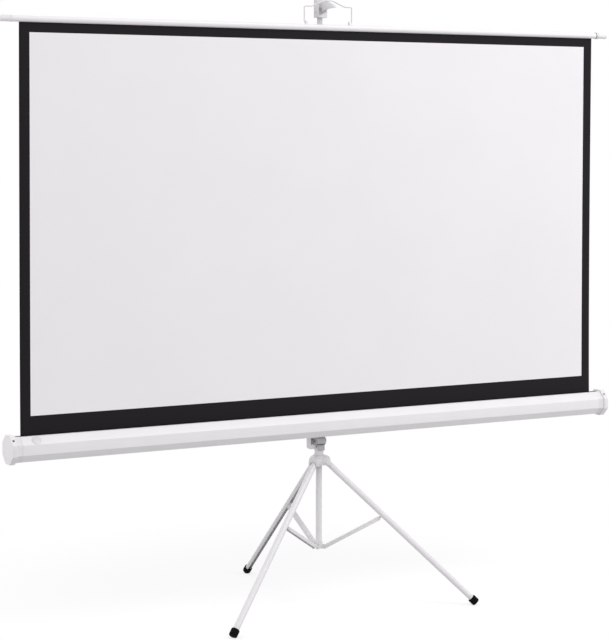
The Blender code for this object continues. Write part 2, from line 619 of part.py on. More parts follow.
lever_line = [(-0.0025, -0.0240), (0.0028, -0.0240), (0.0028, -0.0020), (0.0020, 0.0020), (0.0, 0.0030),
              (-0.0020, 0.0020), (-0.0025, -0.0020)]
lever = prism("latch_lever", lever_line, "X", -0.0128, 0.0128)
cut(lever, rod("hole", 0.0018, "X", (0.0, 0.0), -0.03, 0.03, 12))
for rib in range(4):
    rib_z = -0.0215 + rib * 0.0045
    join(lever, box("rib", (-0.0128, 0.0128), (-0.0036, -0.0020), (rib_z, rib_z + 0.0018)))
finish(lever, GREY_PLASTIC, slider_root, (0.0, LEVER_PIN_Y, LEVER_PIN_Z - CASE_Z))
lever_pin = rod("lever_pin", 0.0015, "X", (0.0, 0.0), -0.0165, 0.0165, 12)
finish(lever_pin, STEEL, slider_root, (0.0, LEVER_PIN_Y, LEVER_PIN_Z - CASE_Z))

CASE_BACK = CASE_Y + CASE_HALF
bolt = turned("pivot_bolt", [(0.0, -COLUMN_HALF - 0.0006), (BOLT_R, -COLUMN_HALF - 0.0006),
                             (BOLT_R, CASE_BACK - CASE_WALL - GAP), (0.0075, CASE_BACK - CASE_WALL - GAP),
                             (0.0075, CASE_BACK - CASE_WALL - 0.0028),
                             (0.0, CASE_BACK - CASE_WALL - 0.0028)], "Y")
finish(bolt, STEEL, slider_root)

# case: an octagonal shell with the sheet slot along its top
case_root = holder("case_root", slider_root, (0.0, 0.0, 0.0))
inner_half = CASE_HALF - CASE_WALL
outer_ring = octagon(CASE_HALF)
inner_ring = octagon(inner_half)
case_line = [(SLOT_HALF, CASE_HALF)] + outer_ring + [(-SLOT_HALF, CASE_HALF)]
case_line += [(-SLOT_HALF, inner_half)] + inner_ring[::-1] + [(SLOT_HALF, inner_half)]
case_shell = prism("case_shell", [(a + CASE_Y, b) for a, b in case_line], "X", -LEFT_END, CASE_END)
cut(case_shell, rod("hole", BOLT_R + HOLE_GAP, "Y", (0.0, 0.0), CASE_BACK - 0.005, CASE_BACK + 0.005))
finish(case_shell, WHITE_PAINT, case_root)

ROLLER_Y = CASE_Y + SHEET_HALF_T + GAP + ROLLER_R
CHAMFER = Vector((0.0, -1.0, 1.0)).normalized()


def on_chamfer(obj, x):
    """Stand a solid made along +Z on the upper front flat of the case at one X."""
    turn = Vector((0.0, 0.0, 1.0)).rotation_difference(CHAMFER).to_matrix().to_4x4()
    return moved(obj, Matrix.Translation((x, CASE_Y, 0.0)) @ turn)


for side_name, side in (("left", -1), ("right", 1)):
    reach = sorted((side * CAP_IN, side * CAP_OUT))
    flange = rounded(octagon(CAP_HALF, (CASE_Y, 0.0)), 0.009)
    cap = prism("case_cap_" + side_name, flange, "X", *reach)
    for half, start, end in ((CASE_HALF + 0.0006, CASE_END + 0.010, CAP_IN + 0.001),
                             (CASE_HALF, CASE_END + GAP, CASE_END + 0.011),
                             (inner_half - GAP, CASE_END - 0.020, CASE_END + 0.002)):
        span = sorted((side * start, side * end))
        join(cap, prism("sleeve", octagon(half, (CASE_Y, 0.0)), "X", *span))
    cut(cap, prism("inside", octagon(inner_half - CAP_WALL, (CASE_Y, 0.0)), "X",
                   *sorted((side * (CASE_END - 0.030), side * (CAP_IN - 0.002)))))
    join(cap, rod("boss", 0.009, "X", (ROLLER_Y, 0.0), *sorted((side * CASE_END, side * (CAP_IN - 0.001))),
                  ROUND))
    pad = box("foot", sorted((side * (CAP_IN + 0.0035), side * (CAP_OUT - 0.0025))),
              (CASE_Y - 0.008, CASE_Y + 0.008),
              (-CAP_HALF - 0.0018, -CAP_HALF + 0.001))
    join(cap, pad)
    cut(cap, rod("hole", SHAFT_R + HOLE_GAP, "X", (ROLLER_Y, 0.0),
                 *sorted((side * (CASE_END - 0.010), side * (CAP_IN + 0.003)))),
        box("notch", sorted((side * (CASE_END - 0.030), side * (CAP_IN - 0.0008))),
            (CASE_Y - SLOT_HALF, CASE_Y + SLOT_HALF), (0.028, 0.06)),
        on_chamfer(rod("well", 0.0045, "Z", (0.0, 0.0), 0.040, 0.060), side * SCREW_X))
    inset = Matrix.Translation((LEFT_INSET if side < 0 else 0.0, 0.0, 0.0))
    finish(moved(cap, inset), WHITE_PLASTIC, case_root)
    screw = rod("cap_screw_" + side_name, 0.0036, "Z", (0.0, 0.0), 0.0405, 0.0450)
    cut(screw, rod("socket", 0.0018, "Z", (0.0, 0.0), 0.0430, 0.050, 6))
    finish(moved(on_chamfer(screw, side * SCREW_X), inset), STEEL, case_root)
    bush = pipe("roller_bush_" + side_name, circle(ROLLER_R - ROLLER_WALL - HOLE_GAP),
                circle(SHAFT_R + HOLE_GAP), "X", *sorted((side * (ROLLER_END - 0.022), side * ROLLER_END)))
    finish(moved(bush, inset), GREY_PLASTIC, case_root, (0.0, ROLLER_Y, 0.0))

badge = rod("badge_plate", 0.0155, "Z", (0.0, 0.0), CASE_HALF + GAP, CASE_HALF + 0.0016, 32)
finish(on_chamfer(badge, BADGE_INSET - LEFT_END), WHITE_PLASTIC, case_root)

# spring roller inside the case
roller = pipe("roller_tube", circle(ROLLER_R), circle(ROLLER_R - ROLLER_WALL), "X",
              LEFT_INSET - ROLLER_END, ROLLER_END)
finish(roller, STEEL, case_root, (0.0, ROLLER_Y, 0.0))
shaft = rod("roller_shaft", SHAFT_R, "X", (0.0, 0.0), LEFT_INSET - CAP_IN, LEFT_INSET - SHAFT_INNER)
finish(shaft, STEEL, case_root, (0.0, ROLLER_Y, 0.0))
gudgeon = rod("roller_gudgeon", SHAFT_R, "X", (0.0, 0.0), ROLLER_END - 0.030, CAP_IN)
finish(gudgeon, STEEL, case_root, (0.0, ROLLER_Y, 0.0))
COIL_TURNS = 14
COIL_STEPS = 12
COIL_START = 0.0235 + LEFT_INSET - ROLLER_END
COIL_PITCH = 0.016
coil = [(COIL_START + COIL_PITCH * k / COIL_STEPS,
         0.0080 * math.cos(2 * math.pi * k / COIL_STEPS),
         0.0080 * math.sin(2 * math.pi * k / COIL_STEPS)) for k in range(COIL_TURNS * COIL_STEPS + 1)]
spring = sweep("roller_spring", coil, 0.0011, 6)
finish(spring, STEEL, case_root, (0.0, ROLLER_Y, 0.0))

# screen sheet, from the roller's tangent line up into the bar
SHEET_TOP = BAR_Z - ROD_R - GAP - CASE_Z
sheet = box("screen_sheet", (-SHEET_HALF, SHEET_HALF), (CASE_Y - SHEET_HALF_T, CASE_Y + SHEET_HALF_T),
            (0.0, SHEET_TOP))
finish(sheet, FABRIC, case_root)

# top bar: tube open along its underside, with end plugs and the rod that holds the sheet
bar_root = holder("bar_root", case_root, (0.0, CASE_Y, BAR_Z - CASE_Z))
slot_turn = math.asin(BAR_SLOT_HALF / BAR_R)
slot_turn_in = math.asin(BAR_SLOT_HALF / (BAR_R - BAR_WALL))
BAR_STEPS = 22


def open_ring(radius, half_open):
    """Arc from one lip of the underside slot round the top to the other lip."""
    start = -math.pi / 2 + half_open
    turn = (2 * math.pi - 2 * half_open) / BAR_STEPS
    return [(radius * math.cos(start + turn * i), radius * math.sin(start + turn * i))
            for i in range(BAR_STEPS + 1)]


bar_line = open_ring(BAR_R, slot_turn) + open_ring(BAR_R - BAR_WALL, slot_turn_in)[::-1]
top_bar = prism("top_bar", bar_line, "X", -BAR_END, BAR_END)
finish(top_bar, WHITE_PAINT, bar_root)
hem_rod = rod("hem_rod", ROD_R, "X", (0.0, 0.0), 0.003 - SHEET_HALF, SHEET_HALF - 0.003, 12)
finish(hem_rod, WHITE_PLASTIC, bar_root)
for side_name, side in (("left", -1), ("right", 1)):
    inner = BAR_R - BAR_WALL - HOLE_GAP
    plug = [(0.0, BAR_END - 0.019), (inner - 0.001, BAR_END - 0.019), (inner, BAR_END - 0.017),
            (inner, BAR_END + GAP),
            (BAR_R + 0.0008, BAR_END + GAP), (BAR_R + 0.0008, BAR_END + 0.004), (BAR_R, BAR_END + 0.0045),
            (BAR_R, PLUG_END - 0.003), (BAR_R - 0.001, PLUG_END - 0.001), (BAR_R - 0.003, PLUG_END),
            (0.0, PLUG_END)]
    bar_plug = turned("bar_plug_" + side_name, [(r, side * x) for r, x in plug], "X", count=ROUND)
    finish(bar_plug, WHITE_PLASTIC, bar_root)

    lug_xs = sorted((side * (BAIL_X - 0.0035), side * (BAIL_X - 0.0125)))
    pivot_up = BAIL_PIVOT_Z - BAR_Z
    lug_line = [(-0.0050, 0.006), (0.0050, 0.006), (0.0050, pivot_up), (0.0036, pivot_up + 0.0036),
                (0.0, pivot_up + 0.0050), (-0.0036, pivot_up + 0.0036), (-0.0050, pivot_up)]
    bail_lug = prism("bail_lug_" + side_name, lug_line, "X", *lug_xs)
    cut(bail_lug, rod("saddle", BAR_R + GAP, "X", (0.0, 0.0), -0.2, 0.2, 44),
        rod("hole", BAIL_R + HOLE_GAP, "X", (0.0, pivot_up), -0.2, 0.2))
    finish(bail_lug, STEEL, bar_root)

# wire bail on the bar, hooked over the arm
bail_root = holder("bail_root", bar_root, (0.0, 0.0, BAIL_PIVOT_Z - BAR_Z))
shoulder = BAIL_SHOULDER_Z - BAIL_PIVOT_Z
crest = BAIL_TOP_Z - BAIL_PIVOT_Z
half_wire = [(BAIL_X - 0.0115, 0.0), (BAIL_X - 0.003, 0.0), (BAIL_X - 0.0006, 0.0010), (BAIL_X, 0.0036),
             (BAIL_X, shoulder - 0.004), (BAIL_X - 0.0012, shoulder - 0.0012), (BAIL_X - 0.004, shoulder),
             (0.066, shoulder), (0.0185, crest - 0.0004), (0.0155, crest)]
wire = [(x, 0.0, z) for x, z in half_wire] + [(-x, 0.0, z) for x, z in half_wire[::-1]]
bail = sweep("bail", wire, BAIL_R, 10)
finish(bail, STEEL, bail_root)

# the origin is the middle of the footprint, so the whole stand moves by the difference
bpy.context.view_layer.update()
spans = [obj.matrix_world @ Vector(corner) for obj in bpy.data.objects if obj.type == "MESH"
         for corner in (v.co for v in obj.data.vertices)]
middle_y = (min(p.y for p in spans) + max(p.y for p in spans)) / 2
stand.location.y = -middle_y
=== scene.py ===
"""A tripod projector screen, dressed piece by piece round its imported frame. Metres, +Z up."""
import math

import bmesh
import bpy
import numpy as np
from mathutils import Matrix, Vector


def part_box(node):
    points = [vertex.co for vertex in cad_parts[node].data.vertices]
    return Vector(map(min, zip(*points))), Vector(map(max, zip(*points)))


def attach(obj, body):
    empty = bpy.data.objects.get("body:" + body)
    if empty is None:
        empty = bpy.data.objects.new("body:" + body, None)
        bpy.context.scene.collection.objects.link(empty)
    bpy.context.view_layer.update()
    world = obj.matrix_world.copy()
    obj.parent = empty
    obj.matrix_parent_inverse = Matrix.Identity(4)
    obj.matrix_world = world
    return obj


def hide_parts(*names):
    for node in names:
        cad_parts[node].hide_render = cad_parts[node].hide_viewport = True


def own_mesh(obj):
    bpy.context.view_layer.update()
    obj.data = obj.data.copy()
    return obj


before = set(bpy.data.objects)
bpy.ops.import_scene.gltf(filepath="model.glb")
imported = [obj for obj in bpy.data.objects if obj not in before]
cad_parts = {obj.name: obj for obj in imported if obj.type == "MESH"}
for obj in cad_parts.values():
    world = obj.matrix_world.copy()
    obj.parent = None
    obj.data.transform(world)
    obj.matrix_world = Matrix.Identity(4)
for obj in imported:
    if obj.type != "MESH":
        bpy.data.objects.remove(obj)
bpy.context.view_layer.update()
column_low, column_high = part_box("column")
POLE_Y = (column_low[1] + column_high[1]) / 2
SIDES = {"right": -30.0, "left": -150.0, "back": 90.0}


# The room: a pale floor that keeps the shadow and fades to white with distance, soft lamps, and
# the camera, which stands at eye height to the left of the screen with a long lens.
def shader_node(tree, kind, sockets=None, **settings):
    """Adds a node; settings are its own properties, sockets maps inputs to values or links."""
    node = tree.nodes.new(kind)
    for key, value in settings.items():
        setattr(node, key, value)
    for key, value in (sockets or {}).items():
        if isinstance(value, bpy.types.NodeSocket):
            tree.links.new(value, node.inputs[key])
        else:
            node.inputs[key].default_value = value
    return node


def math_node(tree, operation, first, second=0.0, third=0.0):
    """One Math node's result."""
    node = shader_node(tree, "ShaderNodeMath", {0: first, 1: second, 2: third}, operation=operation)
    return node.outputs[0]


def seen_directly(tree):
    """1 for rays that see the white distance: camera, mirror and glass rays."""
    path = shader_node(tree, "ShaderNodeLightPath")
    sight = math_node(tree, "MAXIMUM", path.outputs["Is Camera Ray"], path.outputs["Is Glossy Ray"])
    return math_node(tree, "MAXIMUM", sight, path.outputs["Is Transmission Ray"])


FLOOR_REACH = 14.0
FLOOR_SEEN = (0.97, 0.97, 0.97, 1.0)
FLOOR_BOUNCE = (0.50, 0.50, 0.50, 1.0)
FLOOR_GLOW = 0.72
FADE_START = 0.6
FADE_END = 1.7
floor_mesh = bpy.data.meshes.new("floor")
corners = np.array([(-1, -1, 0), (1, -1, 0), (1, 1, 0), (-1, 1, 0)], dtype=float) * FLOOR_REACH
floor_mesh.from_pydata(corners.tolist(), [], [(0, 1, 2, 3)])
floor = bpy.data.objects.new("floor", floor_mesh)
bpy.context.collection.objects.link(floor)
floor_paint = bpy.data.materials.new("pale_floor")
floor_paint.use_nodes = True
tree = floor_paint.node_tree
shader = tree.nodes["Principled BSDF"]
shader.inputs["Roughness"].default_value = 0.9
shader.inputs["Specular IOR Level"].default_value = 0.2
sight = seen_directly(tree)
shade = shader_node(tree, "ShaderNodeMix", {"Factor": sight, "A": FLOOR_BOUNCE, "B": FLOOR_SEEN},
                    data_type="RGBA")
tree.links.new(shade.outputs["Result"], shader.inputs["Base Color"])
place = shader_node(tree, "ShaderNodeTexCoord")
distance = shader_node(tree, "ShaderNodeVectorMath", {0: place.outputs["Object"]},
                       operation="LENGTH")
fade = shader_node(tree, "ShaderNodeMapRange",
                   {"Value": distance.outputs["Value"], "From Min": FADE_START,
                    "From Max": FADE_END, "To Min": FLOOR_GLOW},
                   interpolation_type="SMOOTHSTEP")
white = shader_node(tree, "ShaderNodeEmission", {"Color": (1, 1, 1, 1), "Strength": 1.0})
amount = math_node(tree, "MULTIPLY", fade.outputs["Result"], sight)
both = shader_node(tree, "ShaderNodeMixShader",
                   {0: amount, 1: shader.outputs[0], 2: white.outputs[0]})
tree.links.new(both.outputs[0], tree.nodes["Material Output"].inputs["Surface"])
floor_mesh.materials.append(floor_paint)

AMBIENT = 0.84
world = bpy.data.worlds.new("studio")
bpy.context.scene.world = world
world.use_nodes = True
tree = world.node_tree
background = tree.nodes["Background"]
background.inputs["Color"].default_value = (1.0, 1.0, 1.0, 1.0)
strength = math_node(tree, "MULTIPLY_ADD", seen_directly(tree), 1.0 - AMBIENT, AMBIENT)
tree.links.new(strength, background.inputs["Strength"])


def lamp(name, place, target, size, power):
    """A soft square lamp that faces a point."""
    data = bpy.data.lights.new(name, "AREA")
    data.shape = "SQUARE"
    data.size = size
    data.energy = power
    light = bpy.data.objects.new(name, data)
    bpy.context.collection.objects.link(light)
    light.location = place
    aim = np.array(target) - np.array(place)
    light.rotation_euler = (math.acos(-aim[2] / np.linalg.norm(aim)), 0.0,
                            math.atan2(aim[1], aim[0]) - math.pi / 2)


lamp("key_lamp", (1.9, -3.1, 5.4), (0.0, -0.1, 1.2), 2.4, 85.0)
lamp("right_lamp", (4.2, -4.2, 2.2), (0.0, 0.0, 1.1), 2.4, 60.0)
lamp("left_lamp", (-5.5, -1.2, 1.5), (0.0, -0.1, 1.0), 2.4, 50.0)
lamp("back_lamp", (0.0, 3.6, 4.2), (0.0, 0.0, 0.8), 2.6, 25.0)

CAMERA_PLACE = (-3.4192, POLE_Y - 6.0607, 1.6832)
CAMERA_TURN = (math.pi / 2 - 0.0358, -0.0015, -0.5063)
SENSOR_WIDTH = 36.0
FOCAL_PIXELS = 1973.15
FRAME_PIXELS = 640.0
HORIZON_ROW = 200.58
camera_data = bpy.data.cameras.new("camera")
camera_data.sensor_width = SENSOR_WIDTH
camera_data.lens = FOCAL_PIXELS / FRAME_PIXELS * SENSOR_WIDTH
camera_data.shift_y = (HORIZON_ROW - FRAME_PIXELS / 2) / FRAME_PIXELS
camera = bpy.data.objects.new("camera", camera_data)
bpy.context.collection.objects.link(camera)
camera.location = CAMERA_PLACE
camera.rotation_euler = CAMERA_TURN
bpy.context.scene.camera = camera
bpy.context.scene.view_settings.view_transform = "Standard"


# The hub: three hooded lobes round a square bore, one moulding in white glass-filled nylon. Its
# edges are the rounded edges of a mould, and its skin has the fine spark grain of the tool.
def new_group(name, inputs, outputs):
    """An empty shader group; inputs and outputs are (name, socket type, default) rows."""
    group = bpy.data.node_groups.new(name, "ShaderNodeTree")
    for way, rows in (("INPUT", inputs), ("OUTPUT", outputs)):
        for label, kind, value in rows:
            socket = group.interface.new_socket(label, in_out=way, socket_type=kind)
            if value is not None:
                socket.default_value = value
    return group, group.nodes.new("NodeGroupInput"), group.nodes.new("NodeGroupOutput")


def noise_node(tree, vector, **inputs):
    """One Noise node on a vector; inputs are its sockets' values or links."""
    return shader_node(tree, "ShaderNodeTexNoise", {"Vector": vector, **inputs})


def range_node(tree, value, low, high, **settings):
    """One Map Range node's result, from low to high onto 0 to 1."""
    node = shader_node(tree, "ShaderNodeMapRange",
                       {"Value": value, "From Min": low, "From Max": high}, **settings)
    return node.outputs["Result"]


def build_skin_group():
    """Skin of a coat or a moulding: fine grain height, broad mottling, scuffs and settled dust."""
    group, given, result = new_group(
        "skin", [("Vector", "NodeSocketVector", None), ("Grain Scale", "NodeSocketFloat", 900.0),
                 ("Stretch", "NodeSocketVector", (1.0, 1.0, 1.0))],
        [("Height", "NodeSocketFloat", None), ("Mottle", "NodeSocketFloat", None),
         ("Scuff", "NodeSocketFloat", None), ("Dust", "NodeSocketFloat", None)])
    spot = shader_node(group, "ShaderNodeVectorMath",
                       {0: given.outputs["Vector"], 1: given.outputs["Stretch"]},
                       operation="MULTIPLY")
    grain = noise_node(group, spot.outputs[0], Detail=2.0, Scale=given.outputs["Grain Scale"])
    broad = noise_node(group, given.outputs["Vector"], Scale=14.0, Detail=4.0, Roughness=0.6)
    marks = noise_node(group, spot.outputs[0], Scale=95.0, Detail=6.0, Roughness=0.72)
    scuffs = range_node(group, marks.outputs[0], 0.62, 0.74, interpolation_type="SMOOTHSTEP")
    facing = shader_node(group, "ShaderNodeNewGeometry")
    upward = shader_node(group, "ShaderNodeSeparateXYZ", {0: facing.outputs["Normal"]})
    flat = range_node(group, upward.outputs["Z"], 0.55, 1.0, interpolation_type="SMOOTHSTEP")
    dust = math_node(group, "MULTIPLY", flat, broad.outputs[0])
    group.links.new(grain.outputs[0], result.inputs["Height"])
    group.links.new(broad.outputs[0], result.inputs["Mottle"])
    group.links.new(scuffs, result.inputs["Scuff"])
    group.links.new(dust, result.inputs["Dust"])
    return group


def build_edge_group():
    """Edge wear: how far the rounded normal leans from the true one, broken up by noise."""
    group, given, result = new_group(
        "edge_wear", [("Vector", "NodeSocketVector", None), ("Radius", "NodeSocketFloat", 0.0008)],
        [("Mask", "NodeSocketFloat", None)])
    soft = shader_node(group, "ShaderNodeBevel", {"Radius": given.outputs["Radius"]}, samples=4)
    true = shader_node(group, "ShaderNodeNewGeometry")
    lean = shader_node(group, "ShaderNodeVectorMath",
                       {0: soft.outputs[0], 1: true.outputs["True Normal"]},
                       operation="DOT_PRODUCT")
    bare = range_node(group, lean.outputs["Value"], 0.97, 0.80, interpolation_type="SMOOTHSTEP")
    breaks = noise_node(group, given.outputs["Vector"], Scale=160.0, Detail=4.0)
    torn = range_node(group, breaks.outputs[0], 0.38, 0.62)
    worn = math_node(group, "MULTIPLY", bare, torn)
    group.links.new(worn, result.inputs["Mask"])
    return group


skin_group = build_skin_group()
edge_group = build_edge_group()
SCUFF_SHARE = 0.10
DUST_COLOUR = (0.62, 0.61, 0.59, 1.0)
MOTTLE_ROUGHNESS = 0.14
SCUFF_ROUGHNESS = 0.12


def mixed(tree, amount, first, second):
    """One colour laid over another by an amount."""
    node = shader_node(tree, "ShaderNodeMix", {"Factor": amount, "A": first, "B": second},
                       data_type="RGBA")
    return node.outputs["Result"]


def finish_material(name, colour, worn, rough, grain=900.0, depth=0.00004,
                    stretch=(1.0, 1.0, 1.0), metal=0.0, wear=0.5, tone=0.05, coat=0.0,
                    specular=0.5, dust=0.06, edge=0.0008):
    """A coat, moulding or metal: mottled colour, edges worn to a second colour, dust on what faces
    up, grained skin."""
    material = bpy.data.materials.new(name)
    material.use_nodes = True
    tree = material.node_tree
    shader = tree.nodes["Principled BSDF"]
    place = shader_node(tree, "ShaderNodeTexCoord")
    skin = shader_node(tree, "ShaderNodeGroup", node_tree=skin_group)
    tree.links.new(place.outputs["Object"], skin.inputs["Vector"])
    skin.inputs["Grain Scale"].default_value = grain
    skin.inputs["Stretch"].default_value = stretch
    rim = shader_node(tree, "ShaderNodeGroup", node_tree=edge_group)
    tree.links.new(place.outputs["Object"], rim.inputs["Vector"])
    rim.inputs["Radius"].default_value = edge
    light_tone = tuple(min(1.0, value * (1 + tone)) for value in colour) + (1.0,)
    dark_tone = tuple(value * (1 - tone) for value in colour) + (1.0,)
    shown = mixed(tree, skin.outputs["Mottle"], dark_tone, light_tone)
    for mask, share, laid_over in ((skin.outputs["Scuff"], SCUFF_SHARE, (*worn, 1.0)),
                                   (rim.outputs["Mask"], wear, (*worn, 1.0)),
                                   (skin.outputs["Dust"], dust, DUST_COLOUR)):
        shown = mixed(tree, math_node(tree, "MULTIPLY", mask, share), shown, laid_over)
    tree.links.new(shown, shader.inputs["Base Color"])
    roughened = math_node(tree, "MULTIPLY_ADD", skin.outputs["Mottle"], MOTTLE_ROUGHNESS,
                          rough - MOTTLE_ROUGHNESS / 2)
    roughened = math_node(tree, "MULTIPLY_ADD", skin.outputs["Scuff"], SCUFF_ROUGHNESS, roughened)
    tree.links.new(roughened, shader.inputs["Roughness"])
    shader.inputs["Metallic"].default_value = metal
    shader.inputs["Coat Weight"].default_value = coat
    shader.inputs["Specular IOR Level"].default_value = specular
    bump = shader_node(tree, "ShaderNodeBump", {"Height": skin.outputs["Height"], "Strength": 1.0,
                                                "Distance": depth})
    tree.links.new(bump.outputs[0], shader.inputs["Normal"])
    return material


def dress(material, *names):
    """Gives a material to carried-over nodes."""
    for name in names:
        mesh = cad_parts[name].data
        mesh.materials.clear()
        mesh.materials.append(material)


MERGE_REACH = 0.00002
FLAT_ANGLE = math.radians(1.0)
EDGE_ANGLE = math.radians(28.0)


def softened(node, width, material, body, steps=2):
    """A copy of a node with its loose triangles merged, its flats made whole, and every edge
    sharper than the edge angle rounded to a width."""
    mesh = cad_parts[node].data.copy()
    mesh.name = node + "_soft"
    work = bmesh.new()
    work.from_mesh(mesh)
    bmesh.ops.remove_doubles(work, verts=work.verts[:], dist=MERGE_REACH)
    bmesh.ops.dissolve_limit(work, angle_limit=FLAT_ANGLE, verts=work.verts[:],
                             edges=work.edges[:])
    for face in work.faces:
        face.smooth = True
    work.to_mesh(mesh)
    work.free()
    mesh.materials.clear()
    mesh.materials.append(material)
    piece = bpy.data.objects.new(node + "_soft", mesh)
    bpy.context.collection.objects.link(piece)
    round_off = piece.modifiers.new("round_off", "BEVEL")
    round_off.limit_method = "ANGLE"
    round_off.angle_limit = EDGE_ANGLE
    round_off.width = width
    round_off.segments = steps
    round_off.harden_normals = True
    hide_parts(node)
    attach(piece, body)
    return piece


white_plastic = finish_material("white_plastic", (0.76, 0.741, 0.76), (0.62, 0.62, 0.62), 0.46,
                                grain=1600.0, depth=0.00003, wear=0.35)
nylon = finish_material("nylon", (0.69, 0.673, 0.69), (0.58, 0.57, 0.58), 0.50, grain=1600.0,
                        depth=0.00004, wear=0.40)
softened("hub", 0.0009, nylon, "stand", steps=3)

# The column is square steel tube and the pole that slides in it round tube, both seam welded, cut
# square with their edges broken, and powder coated white, which leaves a slight orange peel.
COLUMN_OUTSIDE = {"half": 0.0125, "radius": 0.0025}
COLUMN_BORE = {"half": 0.0113, "radius": 0.0013}
COLUMN_SPAN = (0.5013, 1.450)
POLE_R = 0.011
POLE_BORE_R = 0.0095
POLE_SPAN = (0.2028, 0.756)


def cornered(half, radius, steps=6):
    """Outline of a square of a given half width whose corners are arcs: each corner is its arc's
    centre plus radius times (cos t, sin t) over a quarter turn."""
    turn = np.linspace(0.0, math.pi / 2, steps)
    starts = np.arange(4)[:, None] * math.pi / 2
    centre = half - radius
    signs = np.array([(1, 1), (-1, 1), (-1, -1), (1, -1)], dtype=float)[:, None, :] * centre
    arcs = np.stack([np.cos(starts + turn), np.sin(starts + turn)], axis=-1) * radius
    return (signs + arcs).reshape(-1, 2)


def ringed(radius, sides=48):
    """Outline of a circle: radius times (cos t, sin t)."""
    turn = np.linspace(0.0, 2 * math.pi, sides, endpoint=False)
    return np.stack([np.cos(turn), np.sin(turn)], axis=-1) * radius


def moved_in(outline, inset):
    """A closed outline moved in by an inset along its own normals, taken from the neighbours."""
    run = np.roll(outline, -1, axis=0) - np.roll(outline, 1, axis=0)
    normal = np.stack([run[:, 1], -run[:, 0]], axis=-1) / np.linalg.norm(run, axis=1)[:, None]
    return outline - inset * normal


def stacked(rows):
    """Rings of points from (outline, height) rows, standing along +Z."""
    return np.stack([np.column_stack([outline, np.full(len(outline), height)])
                     for outline, height in rows])


def tube_rings(outer, inner, low, high, edge=0.0004):
    """The closed wall of a tube between an outer and an inner outline, its four rims broken."""
    return stacked([(moved_in(outer, edge), low), (outer, low + edge), (outer, high - edge),
                    (moved_in(outer, edge), high), (moved_in(inner, -edge), high),
                    (inner, high - edge), (inner, low + edge), (moved_in(inner, -edge), low)])


def laid(rings, axis, at):
    """Rings made along +Z laid along an axis with their origin at a point."""
    order = {"X": [2, 0, 1], "Y": [0, 2, 1], "Z": [0, 1, 2]}[axis]
    return rings[..., order] + np.array(at)


def settle(mesh, sharp=35.0):
    """Merges poles and seams, turns faces outwards, and shades smooth up to an angle."""
    work = bmesh.new()
    work.from_mesh(mesh)
    bmesh.ops.remove_doubles(work, verts=work.verts[:], dist=0.000002)
    bmesh.ops.recalc_face_normals(work, faces=work.faces[:])
    for face in work.faces:
        face.smooth = True
    work.to_mesh(mesh)
    work.free()
    mesh.set_sharp_from_angle(angle=math.radians(sharp))


def skinned(name, rings, material, body, nodes, loop=False):
    """Skins ring after ring with quads. The end rings meet where loop is set, and are filled if
    not."""
    count, sides = rings.shape[:2]
    index = np.arange(count * sides).reshape(count, sides)
    rows = np.vstack([index, index[:1]]) if loop else index
    low, high = rows[:-1], rows[1:]
    quads = np.stack([low, np.roll(low, -1, axis=1), np.roll(high, -1, axis=1), high], axis=-1)
    faces = quads.reshape(-1, 4).tolist()
    if not loop:
        faces += [index[0][::-1].tolist(), index[-1].tolist()]
    mesh = bpy.data.meshes.new(name)
    mesh.from_pydata(rings.reshape(-1, 3).tolist(), [], faces)
    settle(mesh)
    mesh.materials.append(material)
    piece = bpy.data.objects.new(name, mesh)
    bpy.context.collection.objects.link(piece)
    if nodes:
        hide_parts(*nodes)
    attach(piece, body)
    return piece


white_paint = finish_material("white_paint", (0.72, 0.702, 0.72), (0.50, 0.49, 0.50), 0.36,
                              coat=0.15)
column_rings = tube_rings(cornered(**COLUMN_OUTSIDE), cornered(**COLUMN_BORE), *COLUMN_SPAN)
skinned("column_tube", laid(column_rings, "Z", (0, POLE_Y, 0)), white_paint, "stand",
        ["column"], loop=True)
pole_rings = tube_rings(ringed(POLE_R), ringed(POLE_BORE_R), *POLE_SPAN)
skinned("pole_tube", laid(pole_rings, "Z", (0, POLE_Y, 0)), white_paint, "lower",
        ["lower_pole"], loop=True)

# The legs: steel strip rolled into an open round section, its mouth on the underside, coated
# white. Each hangs on a steel pin through its lobe of the hub.
LEG_ANGLE = math.radians(46.8)
LEG_PIVOT = (0.028, 0.5066)
LEG_LENGTH = 0.7296
LEG_END = 0.7186
LEG_TOP = 0.006
LEG_R = 0.011
LEG_INNER_R = 0.0096
LEG_MOUTH_HALF = 0.0063
LEG_PIN = {"radius": 0.0025, "half": 0.0223, "head_r": 0.0042, "head_t": 0.0015}


def legward(points, bearing, tilt=LEG_ANGLE, pivot=LEG_PIVOT):
    """Points from a leg's own axes to the room: X out from the pole, Y across, Z up the leg from
    its pivot; the leg leans out by the tilt and is turned round the pole by the bearing."""
    turn = math.radians(bearing)
    outward = np.array([math.cos(turn), math.sin(turn), 0.0])
    across = np.array([-math.sin(turn), math.cos(turn), 0.0])
    upward = np.array([0.0, 0.0, 1.0])
    axes = np.stack([outward * math.cos(tilt) + upward * math.sin(tilt), across,
                     upward * math.cos(tilt) - outward * math.sin(tilt)])
    return points @ axes + outward * pivot[0] + upward * pivot[1] + np.array([0.0, POLE_Y, 0.0])


def rolled_section(outer, inner, mouth, steps=40):
    """Closed outline of a rolled strip: an arc at the outer radius from lip to lip, then back at
    the inner radius, with the mouth on -X."""
    turn = np.linspace(-1.0, 1.0, steps)
    out_turn = turn * (math.pi - math.asin(mouth / outer))
    in_turn = turn[::-1] * (math.pi - math.asin(mouth / inner))
    out_arc = np.stack([np.cos(out_turn), np.sin(out_turn)], axis=-1) * outer
    in_arc = np.stack([np.cos(in_turn), np.sin(in_turn)], axis=-1) * inner
    return np.concatenate([out_arc, in_arc])


def drawn_rings(outline, low, high, edge=0.0003):
    """A closed section drawn from low to high, moved in a little at both ends."""
    return stacked([(moved_in(outline, edge), low), (outline, low + edge),
                    (outline, high - edge), (moved_in(outline, edge), high)])


